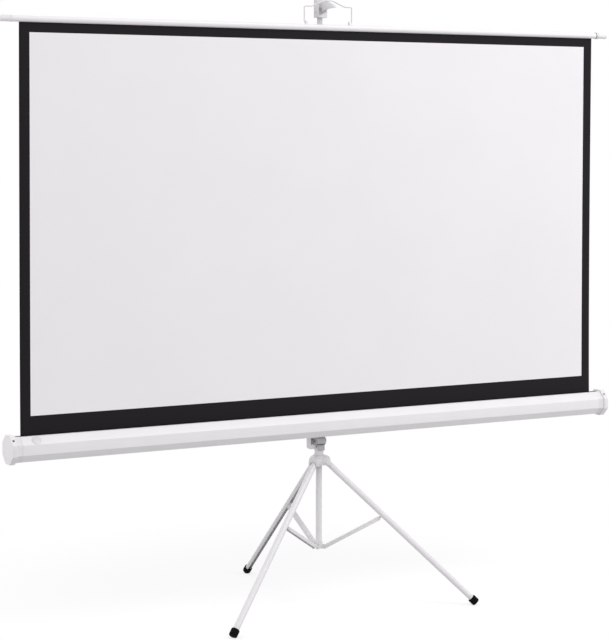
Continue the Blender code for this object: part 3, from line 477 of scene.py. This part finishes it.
def turned_rings(profile, sides=48, lobes=0):
    """Surface of revolution round +Z from (radius, height) rows: radius times (cos t, sin t). A
    third number in a row is a ripple that adds ripple times cos(lobes t) to the radius."""
    rows = np.array([tuple(row) + (0.0,) * (3 - len(row)) for row in profile], dtype=float)
    turn = np.linspace(0.0, 2 * math.pi, sides, endpoint=False)
    radius = rows[:, :1] + rows[:, 2:] * np.cos(lobes * turn)
    height = np.broadcast_to(rows[:, 1:2], radius.shape)
    return np.stack([radius * np.cos(turn), radius * np.sin(turn), height], axis=-1)


def domed_pin(radius, half, head_r, head_t):
    """Profile of a pin whose two heads are low domes, a quarter wave from rim to crown."""
    lift = np.linspace(0.0, math.pi / 2, 6)
    crown = np.column_stack([head_r * np.cos(lift), half + head_t * (0.25 + 0.75 * np.sin(lift))])
    top = [(radius, half), (head_r * 0.96, half), *crown.tolist()]
    low = [(r, -z) for r, z in top[::-1]]
    return low + top


zinc_steel = finish_material("zinc_steel", (0.60, 0.60, 0.61), (0.72, 0.72, 0.72), 0.33,
                             grain=700.0, depth=0.00002, metal=1.0, stretch=(1.0, 1.0, 6.0))
leg_section = rolled_section(LEG_R, LEG_INNER_R, LEG_MOUTH_HALF)
leg_rings = drawn_rings(leg_section, -LEG_END, LEG_TOP)
leg_pin_rings = laid(turned_rings(domed_pin(**LEG_PIN), 32), "Y", (0, 0, 0))
for side, bearing in SIDES.items():
    skinned("leg_" + side + "_rolled", legward(leg_rings, bearing), white_paint, "leg_" + side,
            ["leg_tube_" + side])
    skinned("leg_pin_" + side + "_domed", legward(leg_pin_rings, bearing), zinc_steel, "stand",
            ["leg_pin_" + side])

# The rubber feet: moulded cups pushed over the leg ends, ribbed for grip, with rounded bottoms
# that are pressed flat where they stand on the floor.
FOOT_TOP = 0.0145 - LEG_END
FOOT_SEAT = -LEG_END - 0.0003
FOOT_BORE_R = 0.0113
FOOT_R = 0.0145
FOOT_ROUND = 0.0045
RIB_PITCH = 0.0036
RIB_DEPTH = 0.0003
rib_heights = np.linspace(FOOT_TOP - 0.0012, 0.0052 - LEG_LENGTH, 40)
rib_radii = FOOT_R + RIB_DEPTH * np.sin(2 * math.pi * (rib_heights - FOOT_TOP) / RIB_PITCH)
round_turn = np.linspace(0.0, math.pi / 2, 7)
round_rows = np.column_stack([FOOT_R - FOOT_ROUND + FOOT_ROUND * np.cos(round_turn),
                              FOOT_ROUND - LEG_LENGTH - FOOT_ROUND * np.sin(round_turn)])
foot_profile = [(0.0, FOOT_SEAT), (FOOT_BORE_R, FOOT_SEAT), (FOOT_BORE_R, FOOT_TOP),
                (0.0134, FOOT_TOP), (0.0141, FOOT_TOP - 0.0004),
                *np.column_stack([rib_radii, rib_heights]).tolist(), *round_rows.tolist(),
                (0.0, -LEG_LENGTH)]
rubber = finish_material("rubber", (0.0035, 0.0035, 0.004), (0.02, 0.02, 0.02), 0.85,
                         grain=1100.0, depth=0.00008, tone=0.25, specular=0.10, dust=0.006)
for side, bearing in SIDES.items():
    foot_rings = legward(turned_rings(foot_profile), bearing)
    foot_rings[..., 2] = np.maximum(foot_rings[..., 2], 0.0)
    skinned("foot_" + side + "_ribbed", foot_rings, rubber, "leg_" + side,
            ["leg_tip_" + side])

# The struts: pressed steel channels, one from a nylon lug in the mouth of each leg to the fitting
# on the foot of the pole, on riveted pins.
CLIP_ALONG = 0.2716
CLIP_OFFSET = 0.019
strut_top = (LEG_PIVOT[0] + CLIP_ALONG * math.sin(LEG_ANGLE) - CLIP_OFFSET * math.cos(LEG_ANGLE),
             LEG_PIVOT[1] - CLIP_ALONG * math.cos(LEG_ANGLE) - CLIP_OFFSET * math.sin(LEG_ANGLE))
strut_foot = (0.021, 0.205)
STRUT_PINS = (("top", strut_top, domed_pin(0.002, 0.0083, 0.0034, 0.0012)),
              ("low", strut_foot, domed_pin(0.002, 0.0108, 0.0030, 0.0010)))
for side, bearing in SIDES.items():
    softened("strut_clip_" + side, 0.0005, nylon, "leg_" + side)
    softened("strut_" + side, 0.0004, white_paint, "strut_" + side)
    for end, pin_place, pin_profile in STRUT_PINS:
        pin_name = "strut_pin_" + end + "_" + side
        pin_rings = laid(turned_rings(pin_profile, 28), "Y", (0, 0, 0))
        skinned(pin_name + "_domed", legward(pin_rings, bearing, 0.0, pin_place), zinc_steel,
                "strut_" + side, [pin_name])
softened("foot_fitting", 0.0005, nylon, "lower")

# The collar on the column's top: a nylon moulding that guides the extension tube, with a lobed
# knob behind whose screw locks the tube.
KNOB_LOBES = 6
KNOB_Z = 1.458
grey_plastic = finish_material("grey_plastic", (0.34, 0.34, 0.35), (0.50, 0.50, 0.51), 0.50,
                               grain=1500.0, depth=0.00006, tone=0.10)
softened("column_collar", 0.0008, nylon, "stand")
knob_profile = [(0.0, 0.0078), (0.0026, 0.0078), (0.0030, 0.0082), (0.0030, 0.0225),
                (0.0110, 0.0225, 0.0008), (0.0128, 0.0229, 0.0012), (0.0138, 0.0238, 0.0015),
                (0.0140, 0.0250, 0.0016), (0.0140, 0.0320, 0.0016), (0.0137, 0.0334, 0.0015),
                (0.0129, 0.0344, 0.0013), (0.0114, 0.0349, 0.0008), (0.0090, 0.0349, 0.0002),
                (0.0080, 0.0344), (0.0060, 0.0342), (0.0, 0.0342)]
knob_rings = laid(turned_rings(knob_profile, 72, KNOB_LOBES), "Y", (0, POLE_Y, KNOB_Z))
skinned("knob_lobed", knob_rings, grey_plastic, "knob", ["collar_knob"])

# The extension tube, square steel that slides inside the column and is coated as it is, and the
# moulded plug pressed into its lower end, which guides it in the column's bore.
EXTENSION_OUTSIDE = {"half": 0.0075, "radius": 0.0015}
EXTENSION_BORE = {"half": 0.0063, "radius": 0.0006}
EXTENSION_SPAN = (1.372, 2.110)
extension_rings = tube_rings(cornered(**EXTENSION_OUTSIDE), cornered(**EXTENSION_BORE),
                             *EXTENSION_SPAN, edge=0.0003)
skinned("extension_drawn", laid(extension_rings, "Z", (0, POLE_Y, 0)), white_paint, "extension",
        ["extension_tube"], loop=True)
softened("extension_plug", 0.0004, grey_plastic, "extension")


# The pole head: a die-cast bracket open to the front, riveted on the tube, and the cast hook arm
# riveted in it, over which the bail hooks. The arm's foot, in the recess under the arm, is painted
# darker grey as painted shade.
def split_at(piece, axis, level):
    """Cuts a piece's faces along the plane where one coordinate has a level, and keeps both
    sides."""
    work = bmesh.new()
    work.from_mesh(piece.data)
    normal = np.eye(3)["XYZ".index(axis)]
    bmesh.ops.bisect_plane(work, geom=work.verts[:] + work.edges[:] + work.faces[:],
                           plane_co=(normal * level).tolist(), plane_no=normal.tolist())
    work.to_mesh(piece.data)
    work.free()


def face_middles(piece):
    """Middles and normals of a piece's faces, one row each."""
    mesh = piece.data
    middles = np.empty(len(mesh.polygons) * 3)
    mesh.polygons.foreach_get("center", middles)
    normals = np.empty(len(mesh.polygons) * 3)
    mesh.polygons.foreach_get("normal", normals)
    return middles.reshape(-1, 3), normals.reshape(-1, 3)


def painted(piece, material, chosen):
    """Gives the chosen faces of a piece one more material."""
    mesh = piece.data
    mesh.materials.append(material)
    slots = np.empty(len(mesh.polygons), dtype=np.int32)
    mesh.polygons.foreach_get("material_index", slots)
    slots[chosen] = len(mesh.materials) - 1
    mesh.polygons.foreach_set("material_index", slots)


ARM_FOOT_TOP = 2.112
ARM_FOOT_FRONT = POLE_Y - 0.0225
HEAD_PIN = {"radius": 0.0025, "half": 0.0183, "head_r": 0.0042, "head_t": 0.0014}
HEAD_RIVETS = {"head_rivet": (0, POLE_Y, 2.096), "arm_rivet": (0, POLE_Y - 0.0150, 2.1265)}
head_paint = finish_material("head_paint", (0.70, 0.682, 0.70), (0.50, 0.49, 0.50), 0.42,
                             grain=1200.0)
arm_foot_shade = finish_material("arm_foot_shade", (0.44, 0.429, 0.44), (0.58, 0.57, 0.58), 0.50,
                            grain=1500.0, depth=0.00005)
softened("head_bracket", 0.0006, head_paint, "extension")
arm_piece = softened("hook_arm", 0.0007, head_paint, "extension")
split_at(arm_piece, "Z", ARM_FOOT_TOP)
split_at(arm_piece, "Y", ARM_FOOT_FRONT)
middles, normals = face_middles(arm_piece)
# The arm's foot is painted darker grey: painted shade in the bracket's recess.
painted(arm_piece, arm_foot_shade, (middles[:, 2] < ARM_FOOT_TOP) & (middles[:, 1] > ARM_FOOT_FRONT))
rivet_rings = turned_rings(domed_pin(**HEAD_PIN), 32)
for rivet, rivet_place in HEAD_RIVETS.items():
    skinned(rivet + "_domed", laid(rivet_rings, "X", rivet_place), zinc_steel, "extension",
            [rivet])

# The slider under the case: a white nylon sleeve on the column with a grey front plate, a ribbed
# lever in the plate that frees it, a white bracket at its side, and a knurled wheel that trims the
# height. A dark band on the plate's lower lip is painted shade for the gap above the lever.
WHEEL_TEETH = 28
WHEEL_PLACE = (0, POLE_Y, 0.583)
PLATE_BACK = POLE_Y - 0.0141
PLATE_FACING = -0.9
LIP_TOP = 0.5748
LEVER_PIN_PLACE = (0, POLE_Y - 0.0160, 0.5735)
slider_grey = finish_material("slider_grey", (0.50, 0.488, 0.50), (0.62, 0.61, 0.62), 0.50,
                              grain=1500.0, depth=0.00006, tone=0.10)
lip_painted_shade = finish_material("lip_painted_shade", (0.10, 0.10, 0.105), (0.20, 0.20, 0.20), 0.70,
                             grain=1100.0, depth=0.00006, tone=0.15)
wheel_grey = finish_material("wheel_grey", (0.26, 0.26, 0.27), (0.42, 0.42, 0.43), 0.52,
                             grain=1500.0, depth=0.00006, tone=0.12)
slider_piece = softened("slider_body", 0.0006, nylon, "slider")
split_at(slider_piece, "Z", LIP_TOP)
middles, normals = face_middles(slider_piece)
on_plate = middles[:, 1] < PLATE_BACK
painted(slider_piece, slider_grey, on_plate | (normals[:, 1] < PLATE_FACING))
# The plate's lower lip is painted near black: painted shade over the lever.
painted(slider_piece, lip_painted_shade, on_plate & (middles[:, 2] < LIP_TOP))
softened("latch_lever", 0.0004, slider_grey, "lever")
softened("slider_bracket", 0.0006, white_plastic, "slider")
wheel_profile = [(0.0, -0.0395), (0.0026, -0.0395), (0.0030, -0.0391), (0.0030, -0.0345),
                 (0.0078, -0.0345), (0.0087, -0.0342, 0.0001), (0.0094, -0.0335, 0.0003),
                 (0.0096, -0.0325, 0.0004), (0.0096, -0.0255, 0.0004), (0.0094, -0.0245, 0.0003),
                 (0.0087, -0.0238, 0.0001), (0.0078, -0.0235), (0.0030, -0.0235),
                 (0.0030, -0.0135), (0.0026, -0.0131), (0.0, -0.0131)]
wheel_rings = laid(turned_rings(wheel_profile, 6 * WHEEL_TEETH, WHEEL_TEETH), "X", WHEEL_PLACE)
skinned("wheel_knurled", wheel_rings, wheel_grey, "wheel", ["height_wheel"])
lever_pin_rings = turned_rings([(0.0, -0.0165), (0.0012, -0.0165), (0.0015, -0.0162),
                                (0.0015, 0.0162), (0.0012, 0.0165), (0.0, 0.0165)], 20)
skinned("lever_pin_round", laid(lever_pin_rings, "X", LEVER_PIN_PLACE), zinc_steel, "slider",
        ["lever_pin"])
dress(zinc_steel, "pivot_bolt")

# The case: rolled and painted aluminium, an octagon with softly rounded corners and a slot along
# its top whose lips are turned smooth for the cloth.
CASE_Y = POLE_Y - 0.060
CASE_Z = 0.650
CASE_LEFT = -1.150
CASE_RIGHT = 1.160
CASE_HALF = 0.0415
CASE_WALL = 0.0018
CASE_CORNER = 0.0016
SLOT_HALF = 0.0070


def curved(middle, back, on, reach_back, reach_on, steps):
    """Curves that cut corners: (1-t)^2 A + 2 t (1-t) C + t^2 B, from A before the corner C, a
    reach back along one straight, to B after it, a reach on along the other."""
    start = middle + back / np.linalg.norm(back, axis=1)[:, None] * reach_back
    end = middle + on / np.linalg.norm(on, axis=1)[:, None] * reach_on
    t = np.linspace(0.0, 1.0, steps)[None, :, None]
    curve = ((1 - t) ** 2 * start[:, None] + 2 * t * (1 - t) * middle[:, None]
             + t ** 2 * end[:, None])
    return curve.reshape(-1, 2)


def arced(points, radius, steps=7):
    """Closed outline with each corner cut by a curve that reaches a radius, or not quite to the
    middle of a short straight."""
    corner = np.array(points, dtype=float)
    back = np.roll(corner, 1, axis=0) - corner
    on = np.roll(corner, -1, axis=0) - corner
    reach_back = np.minimum(radius, np.linalg.norm(back, axis=1) * 0.48)[:, None]
    reach_on = np.minimum(radius, np.linalg.norm(on, axis=1) * 0.48)[:, None]
    return curved(corner, back, on, reach_back, reach_on, steps)


def case_section(outer, wall, slot):
    """The octagon's outer flats from the left lip round to the right one, and back inside."""
    inner = outer - wall
    near = math.tan(math.pi / 8)
    ring = [(near, 1), (1, near), (1, -near), (near, -1),
            (-near, -1), (-1, -near), (-1, near), (-near, 1)]
    out_line = [(a * outer, b * outer) for a, b in ring[::-1]]
    in_line = [(a * inner, b * inner) for a, b in ring]
    return [(-slot, outer), *out_line, (slot, outer), (slot, inner), *in_line, (-slot, inner)]


case_paint = finish_material("case_paint", (0.78, 0.760, 0.78), (0.55, 0.54, 0.55), 0.36,
                             grain=1500.0, depth=0.00002, stretch=(0.02, 1.0, 1.0), coat=0.1,
                             tone=0.03)
case_outline = arced(case_section(CASE_HALF, CASE_WALL, SLOT_HALF), CASE_CORNER)[::-1]
case_rings = drawn_rings(case_outline, CASE_LEFT, CASE_RIGHT)
case_piece = skinned("case_rolled", laid(case_rings, "X", (0, CASE_Y, CASE_Z)), case_paint,
                     "case", ["case_shell"])
# Near-black slot walls: painted shade, standing in for the shade inside the deep, narrow slot.
slot_painted_shade = finish_material("slot_painted_shade", (0.020, 0.020, 0.021), (0.05, 0.05, 0.05), 0.90,
                            grain=2600.0, depth=0.00010, tone=0.30, specular=0.15, dust=0.02)


def slot_shaded(piece, half_width, low_z):
    """Paints a slot's upright faces within a half width and above a height near black: painted
    shade in the slot.
    """
    middles, normals = face_middles(piece)
    in_slot = (np.abs(middles[:, 1] - CASE_Y) < half_width) & (middles[:, 2] > CASE_Z + low_z)
    painted(piece, slot_painted_shade, in_slot & (np.abs(normals[:, 2]) < 0.9))


# The case's slot lips are painted near black as painted shade.
slot_shaded(case_piece, 0.0085, 0.0360)

# The end caps: white mouldings plugged into the case, each held by a small dark screw in a well,
# and a blank round plate near the left end.
SCREW_X = {"left": -1.1785, "right": 1.1885}
SCREW_HEAD = {"radius": 0.0036, "low": 0.0405, "high": 0.0450, "arm": 0.0005, "depth": 0.0012}
BADGE_X = -1.0995
dark_steel = finish_material("dark_steel", (0.10, 0.10, 0.10), (0.35, 0.35, 0.35), 0.38,
                             grain=700.0, depth=0.00002, metal=1.0)
for side in ("left", "right"):
    cap_piece = softened("case_cap_" + side, 0.0009, white_plastic, "case",
                         steps=3)
    # The cap's slot notch is painted near black as painted shade.
    slot_shaded(cap_piece, 0.0080, 0.0275)


def on_chamfer(points, x):
    """Points made round +Z set on the case's upper front flat at one X: X stays, the disc's own
    up is (0, -1, 1) over the root of two."""
    tilt = math.sqrt(0.5)
    a, b, c = points[..., 0], points[..., 1], points[..., 2]
    return np.stack([x + a, CASE_Y + (b - c) * tilt, CASE_Z + (b + c) * tilt], axis=-1)


def screw_rings(radius, low, high, arm, depth, sides=64, rows=10):
    """A pan head with a cross recess: the crown is a low dome, less a depth wherever |x| or |y| is
    under the arm's half width and inside seven tenths of the radius."""
    reach = np.linspace(1.0, 0.0, rows)[:, None] * radius
    turn = np.linspace(0.0, 2 * math.pi, sides, endpoint=False)[None, :]
    x, y = reach * np.cos(turn), reach * np.sin(turn)
    dome = high - (high - low) * 0.35 * (reach / radius) ** 2
    cut = (np.minimum(np.abs(x), np.abs(y)) < arm) & (reach < 0.7 * radius)
    crown = np.stack([x, y, np.where(cut, dome - depth, dome + 0.0 * x)], axis=-1)
    foot = np.stack([x[:1], y[:1], np.full_like(x[:1], low)], axis=-1)
    return np.concatenate([foot, crown])


for side, screw_x in SCREW_X.items():
    skinned("cap_screw_" + side + "_cross", on_chamfer(screw_rings(**SCREW_HEAD), screw_x),
            dark_steel, "case", ["cap_screw_" + side])
badge_profile = [(0.0, 0.0418), (0.0150, 0.0418), (0.0155, 0.0421), (0.0155, 0.0427),
                 (0.0152, 0.0430), (0.0147, 0.0431), (0.0141, 0.0430), (0.0137, 0.0427),
                 (0.0120, 0.0428), (0.0, 0.0430)]
satin_plate = finish_material("satin_plate", (0.62, 0.62, 0.63), (0.74, 0.74, 0.74), 0.34,
                              grain=900.0, depth=0.00001, metal=0.35)
skinned("badge_blank", on_chamfer(turned_rings(badge_profile, 64), BADGE_X), satin_plate, "case",
        ["badge_plate"])

# The spring roller in the case: a steel tube on two nylon bushes, a coil spring that winds on the
# fixed shaft at the left, and a gudgeon at the right.
ROLLER_Y = CASE_Y + 0.0156
ROLLER_R = 0.0150
ROLLER_BORE_R = 0.0138
ROLLER_SPAN = (-1.115, 1.125)
roller_rings = tube_rings(ringed(ROLLER_R), ringed(ROLLER_BORE_R), *ROLLER_SPAN)
skinned("roller_seamed", laid(roller_rings, "X", (0, ROLLER_Y, CASE_Z)), zinc_steel, "roller",
        ["roller_tube"], loop=True)
dress(grey_plastic, "roller_bush_left", "roller_bush_right")
dress(zinc_steel, "roller_shaft", "roller_gudgeon", "roller_spring")

# The top bar: aluminium tube slit along its underside for the cloth's hem, with a white plug in
# each end, a rod inside that holds the hem, and a ring pushed over its right end, painted dark grey
# as painted shade for the shadowed gap at the bar's end.
BAR_Z = 2.040
BAR_R = 0.011
BAR_BORE_R = 0.0092
BAR_SLIT_HALF = 0.0015
BAR_REACH = 1.169
slit_down = np.array([-1.0, 1.0])
bar_section = rolled_section(BAR_R, BAR_BORE_R, BAR_SLIT_HALF, 44)[:, ::-1] * slit_down
bar_rings = drawn_rings(bar_section[::-1], -BAR_REACH, BAR_REACH)
skinned("bar_drawn", laid(bar_rings, "X", (0, CASE_Y, BAR_Z)), case_paint, "bar",
        ["top_bar"])
# Dark grey for the right end's ring: painted shade for the gap between bar and plug.
ring_painted_shade = finish_material("ring_painted_shade", (0.20, 0.20, 0.205), (0.34, 0.34, 0.35), 0.60,
                            grain=1300.0, depth=0.00005, tone=0.12)
plug_profile = [(0.0, 1.150), (0.0079, 1.150), (0.0089, 1.152), (0.0089, 1.1693),
                (0.0115, 1.1693), (0.0120, 1.1697), (0.0122, 1.1703), (0.0122, 1.1718),
                (0.0118, 1.1724), (0.0111, 1.1726), (0.0110, 1.1732), (0.0110, 1.2055),
                (0.0107, 1.2071), (0.0100, 1.2082), (0.0085, 1.2089), (0.0060, 1.2090),
                (0.0, 1.2090)]
for side, way in (("left", -1.0), ("right", 1.0)):
    plug_rings = turned_rings([(radius, way * along) for radius, along in plug_profile])
    skinned("bar_plug_" + side + "_turned", laid(plug_rings, "X", (0, CASE_Y, BAR_Z)),
            white_plastic, "bar", ["bar_plug_" + side])
ring_profile = [(0.0111, 1.1585), (0.0118, 1.1585), (0.0122, 1.1590), (0.0122, 1.1618),
                (0.0118, 1.1623), (0.0111, 1.1623)]
skinned("bar_ring", laid(turned_rings(ring_profile), "X", (0, CASE_Y, BAR_Z)), ring_painted_shade, "bar",
        [], loop=True)
dress(white_plastic, "hem_rod")

# The bail: one length of steel wire, coated pale grey, bent to a frame with a raised middle. Its
# turned-in ends swing in two lugs welded on the bar and painted with it.
BAIL_R = 0.00225
BAIL_Z = 2.058
bail_coat = finish_material("bail_coat", (0.68, 0.663, 0.68), (0.50, 0.49, 0.50), 0.38,
                            grain=1200.0)
for side in ("left", "right"):
    softened("bail_lug_" + side, 0.0004, case_paint, "bar")
bail_corners = [(0.0835, 0.0), (0.0950, 0.0), (0.0950, 0.0550), (0.0660, 0.0550),
                (0.0170, 0.0760), (-0.0170, 0.0760), (-0.0660, 0.0550), (-0.0950, 0.0550),
                (-0.0950, 0.0), (-0.0835, 0.0)]
bail_bends = np.array([0.0, 0.0045, 0.0060, 0.0100, 0.0040, 0.0040, 0.0100, 0.0060, 0.0045, 0.0])


def bent_path(corners, bends, steps=9):
    """Open path with each corner between its ends cut by a curve that reaches the corner's
    bend."""
    corner = np.array(corners, dtype=float)
    middle = corner[1:-1]
    reach = bends[1:-1, None]
    bent = curved(middle, corner[:-2] - middle, corner[2:] - middle, reach, reach, steps)
    return np.concatenate([corner[:1], bent, corner[-1:]])


def wire_rings(path, radius, sides=20):
    """A round wire along a path in the XZ plane: each ring is radius times (cos p N + sin p Y), N
    the path's normal; the ends close in rings that shrink as half domes."""
    run = np.gradient(path, axis=0)
    run /= np.linalg.norm(run, axis=1)[:, None]
    lift = np.array([0.0, 0.35, 0.75, 1.0]) * math.pi / 2
    cap_in = path[:1] + run[:1] * (radius * (1 - np.sin(lift[::-1])))[:, None]
    cap_out = path[-1:] - run[-1:] * (radius * (1 - np.sin(lift)))[:, None]
    points = np.concatenate([cap_in, path[1:-1], cap_out])
    runs = np.concatenate([np.repeat(run[:1], len(lift), axis=0), run[1:-1],
                           np.repeat(run[-1:], len(lift), axis=0)])
    size = np.concatenate([np.cos(lift[::-1]), np.ones(len(path) - 2), np.cos(lift)]) * radius
    turn = np.linspace(0.0, 2 * math.pi, sides, endpoint=False)
    side_x = -runs[:, 1:2] * np.cos(turn) * size[:, None]
    side_z = runs[:, :1] * np.cos(turn) * size[:, None]
    side_y = np.sin(turn) * size[:, None]
    return np.stack([points[:, :1] + side_x, side_y, points[:, 1:2] + side_z], axis=-1)


bail_rings = wire_rings(bent_path(bail_corners, bail_bends), BAIL_R)
skinned("bail_bent", bail_rings + np.array([0.0, CASE_Y, BAIL_Z]), bail_coat, "bail",
        ["bail"])

# The screen sheet: coated glass fibre cloth, matt white with a printed black border on the face
# and a black back. Its foot winds on the roller and its top edge is held in the bar.
SHEET_HALF = 1.143
SHEET_FOOT = 0.650
SHEET_TOP = 2.0367
SHEET_Y = POLE_Y - 0.0597
SHEET_THICK = 0.0006
SHEET_COLUMNS = 220
SHEET_ROWS = 150
BORDER_SIDE = 0.036
BORDER_TOP = 0.0325
BORDER_FOOT = 0.063
CASE_TOP = 0.6915
BAR_FOOT = 2.029
CURL_DEPTH = 0.0030
CURL_WIDTH = 0.045
WEAVE_RATE = 5200.0
PRINT_EDGE = 0.0003


def sheet_wave(x, z):
    """Depth of the cloth off its flat plane: two slow ripples, each a sine of x and z, that die at
    the bar and the slot, and edges that curl back a little, fading inwards."""
    free = np.clip((z - CASE_TOP) / (BAR_FOOT - CASE_TOP), 0.0, 1.0)
    held = np.sin(math.pi * free) ** 0.7
    ripple = (0.0016 * np.sin(5.1 * x + 1.3 * z + 0.6)
              + 0.0009 * np.sin(11.3 * x - 2.1 * z + 1.9))
    curl = CURL_DEPTH * np.exp(-((SHEET_HALF - np.abs(x)) / CURL_WIDTH))
    return held * (ripple + curl)


def surface(name, points):
    """A grid of points, rows by columns, as one quad mesh."""
    rows, columns = points.shape[:2]
    mesh = bpy.data.meshes.new(name)
    index = np.arange(rows * columns).reshape(rows, columns)
    quads = np.stack([index[:-1, :-1], index[:-1, 1:], index[1:, 1:], index[1:, :-1]], axis=-1)
    mesh.from_pydata(points.reshape(-1, 3).tolist(), [], quads.reshape(-1, 4).tolist())
    mesh.polygons.foreach_set("use_smooth", np.ones(len(mesh.polygons), dtype=bool))
    obj = bpy.data.objects.new(name, mesh)
    bpy.context.collection.objects.link(obj)
    return obj


across = np.linspace(-SHEET_HALF, SHEET_HALF, SHEET_COLUMNS)
up = np.linspace(SHEET_FOOT, SHEET_TOP, SHEET_ROWS)
grid_x, grid_z = np.meshgrid(across, up)
cloth_points = np.stack([grid_x, SHEET_Y + sheet_wave(grid_x, grid_z), grid_z], axis=-1)
screen_cloth = surface("screen_cloth", cloth_points)
uv = screen_cloth.data.uv_layers.new(name="cloth")
corner_vertex = np.empty(len(screen_cloth.data.loops), dtype=np.int32)
screen_cloth.data.loops.foreach_get("vertex_index", corner_vertex)
flat_place = cloth_points.reshape(-1, 3)[corner_vertex][:, [0, 2]]
uv.data.foreach_set("uv", flat_place.ravel())


def cloth_face_material():
    """White coated face with the printed border: the border is where UV is near an edge."""
    material = bpy.data.materials.new("screen_face")
    material.use_nodes = True
    tree = material.node_tree
    shader = tree.nodes["Principled BSDF"]
    place = shader_node(tree, "ShaderNodeUVMap", uv_map="cloth")
    parts = shader_node(tree, "ShaderNodeSeparateXYZ", {0: place.outputs[0]})
    beside = math_node(tree, "SUBTRACT", SHEET_HALF - BORDER_SIDE,
                       math_node(tree, "ABSOLUTE", parts.outputs["X"]))
    above = math_node(tree, "SUBTRACT", BAR_FOOT - BORDER_TOP, parts.outputs["Y"])
    below = math_node(tree, "SUBTRACT", parts.outputs["Y"], CASE_TOP + BORDER_FOOT)
    inside = math_node(tree, "MINIMUM", math_node(tree, "MINIMUM", beside, above), below)
    picture = range_node(tree, inside, -PRINT_EDGE, PRINT_EDGE)
    weave_x, weave_z = [
        math_node(tree, "SINE", math_node(tree, "MULTIPLY", parts.outputs[axis], WEAVE_RATE))
        for axis in ("X", "Y")]
    weave = math_node(tree, "MULTIPLY", weave_x, weave_z)
    cloud = noise_node(tree, place.outputs[0], Scale=3.0, Detail=3.0)
    fibre = noise_node(tree, place.outputs[0], Scale=420.0, Detail=4.0)
    face = mixed(tree, cloud.outputs[0], (0.80, 0.777, 0.80, 1), (0.84, 0.817, 0.84, 1))
    ink = mixed(tree, fibre.outputs[0], (0.007, 0.0056, 0.007, 1), (0.0115, 0.0095, 0.0117, 1))
    tree.links.new(mixed(tree, picture, ink, face), shader.inputs["Base Color"])
    shader.inputs["Specular IOR Level"].default_value = 0.15
    rough = math_node(tree, "MULTIPLY_ADD", picture, 0.18, 0.70)
    tree.links.new(rough, shader.inputs["Roughness"])
    height = math_node(tree, "MULTIPLY_ADD", fibre.outputs[0], 0.6, weave)
    bump = shader_node(tree, "ShaderNodeBump",
                       {"Height": height, "Strength": 0.6, "Distance": 0.00004})
    tree.links.new(bump.outputs[0], shader.inputs["Normal"])
    return material


screen_cloth.data.materials.append(cloth_face_material())
backing = finish_material("screen_backing", (0.022, 0.022, 0.023), (0.06, 0.06, 0.06), 0.72,
                          grain=1800.0, depth=0.00006, tone=0.15, wear=0.2, dust=0.0)
screen_cloth.data.materials.append(backing)
wall = screen_cloth.modifiers.new("thickness", "SOLIDIFY")
wall.thickness = SHEET_THICK
wall.offset = 0.0
wall.material_offset = 1
wall.material_offset_rim = 1
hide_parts("screen_sheet")
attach(screen_cloth, "case")
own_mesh(screen_cloth)
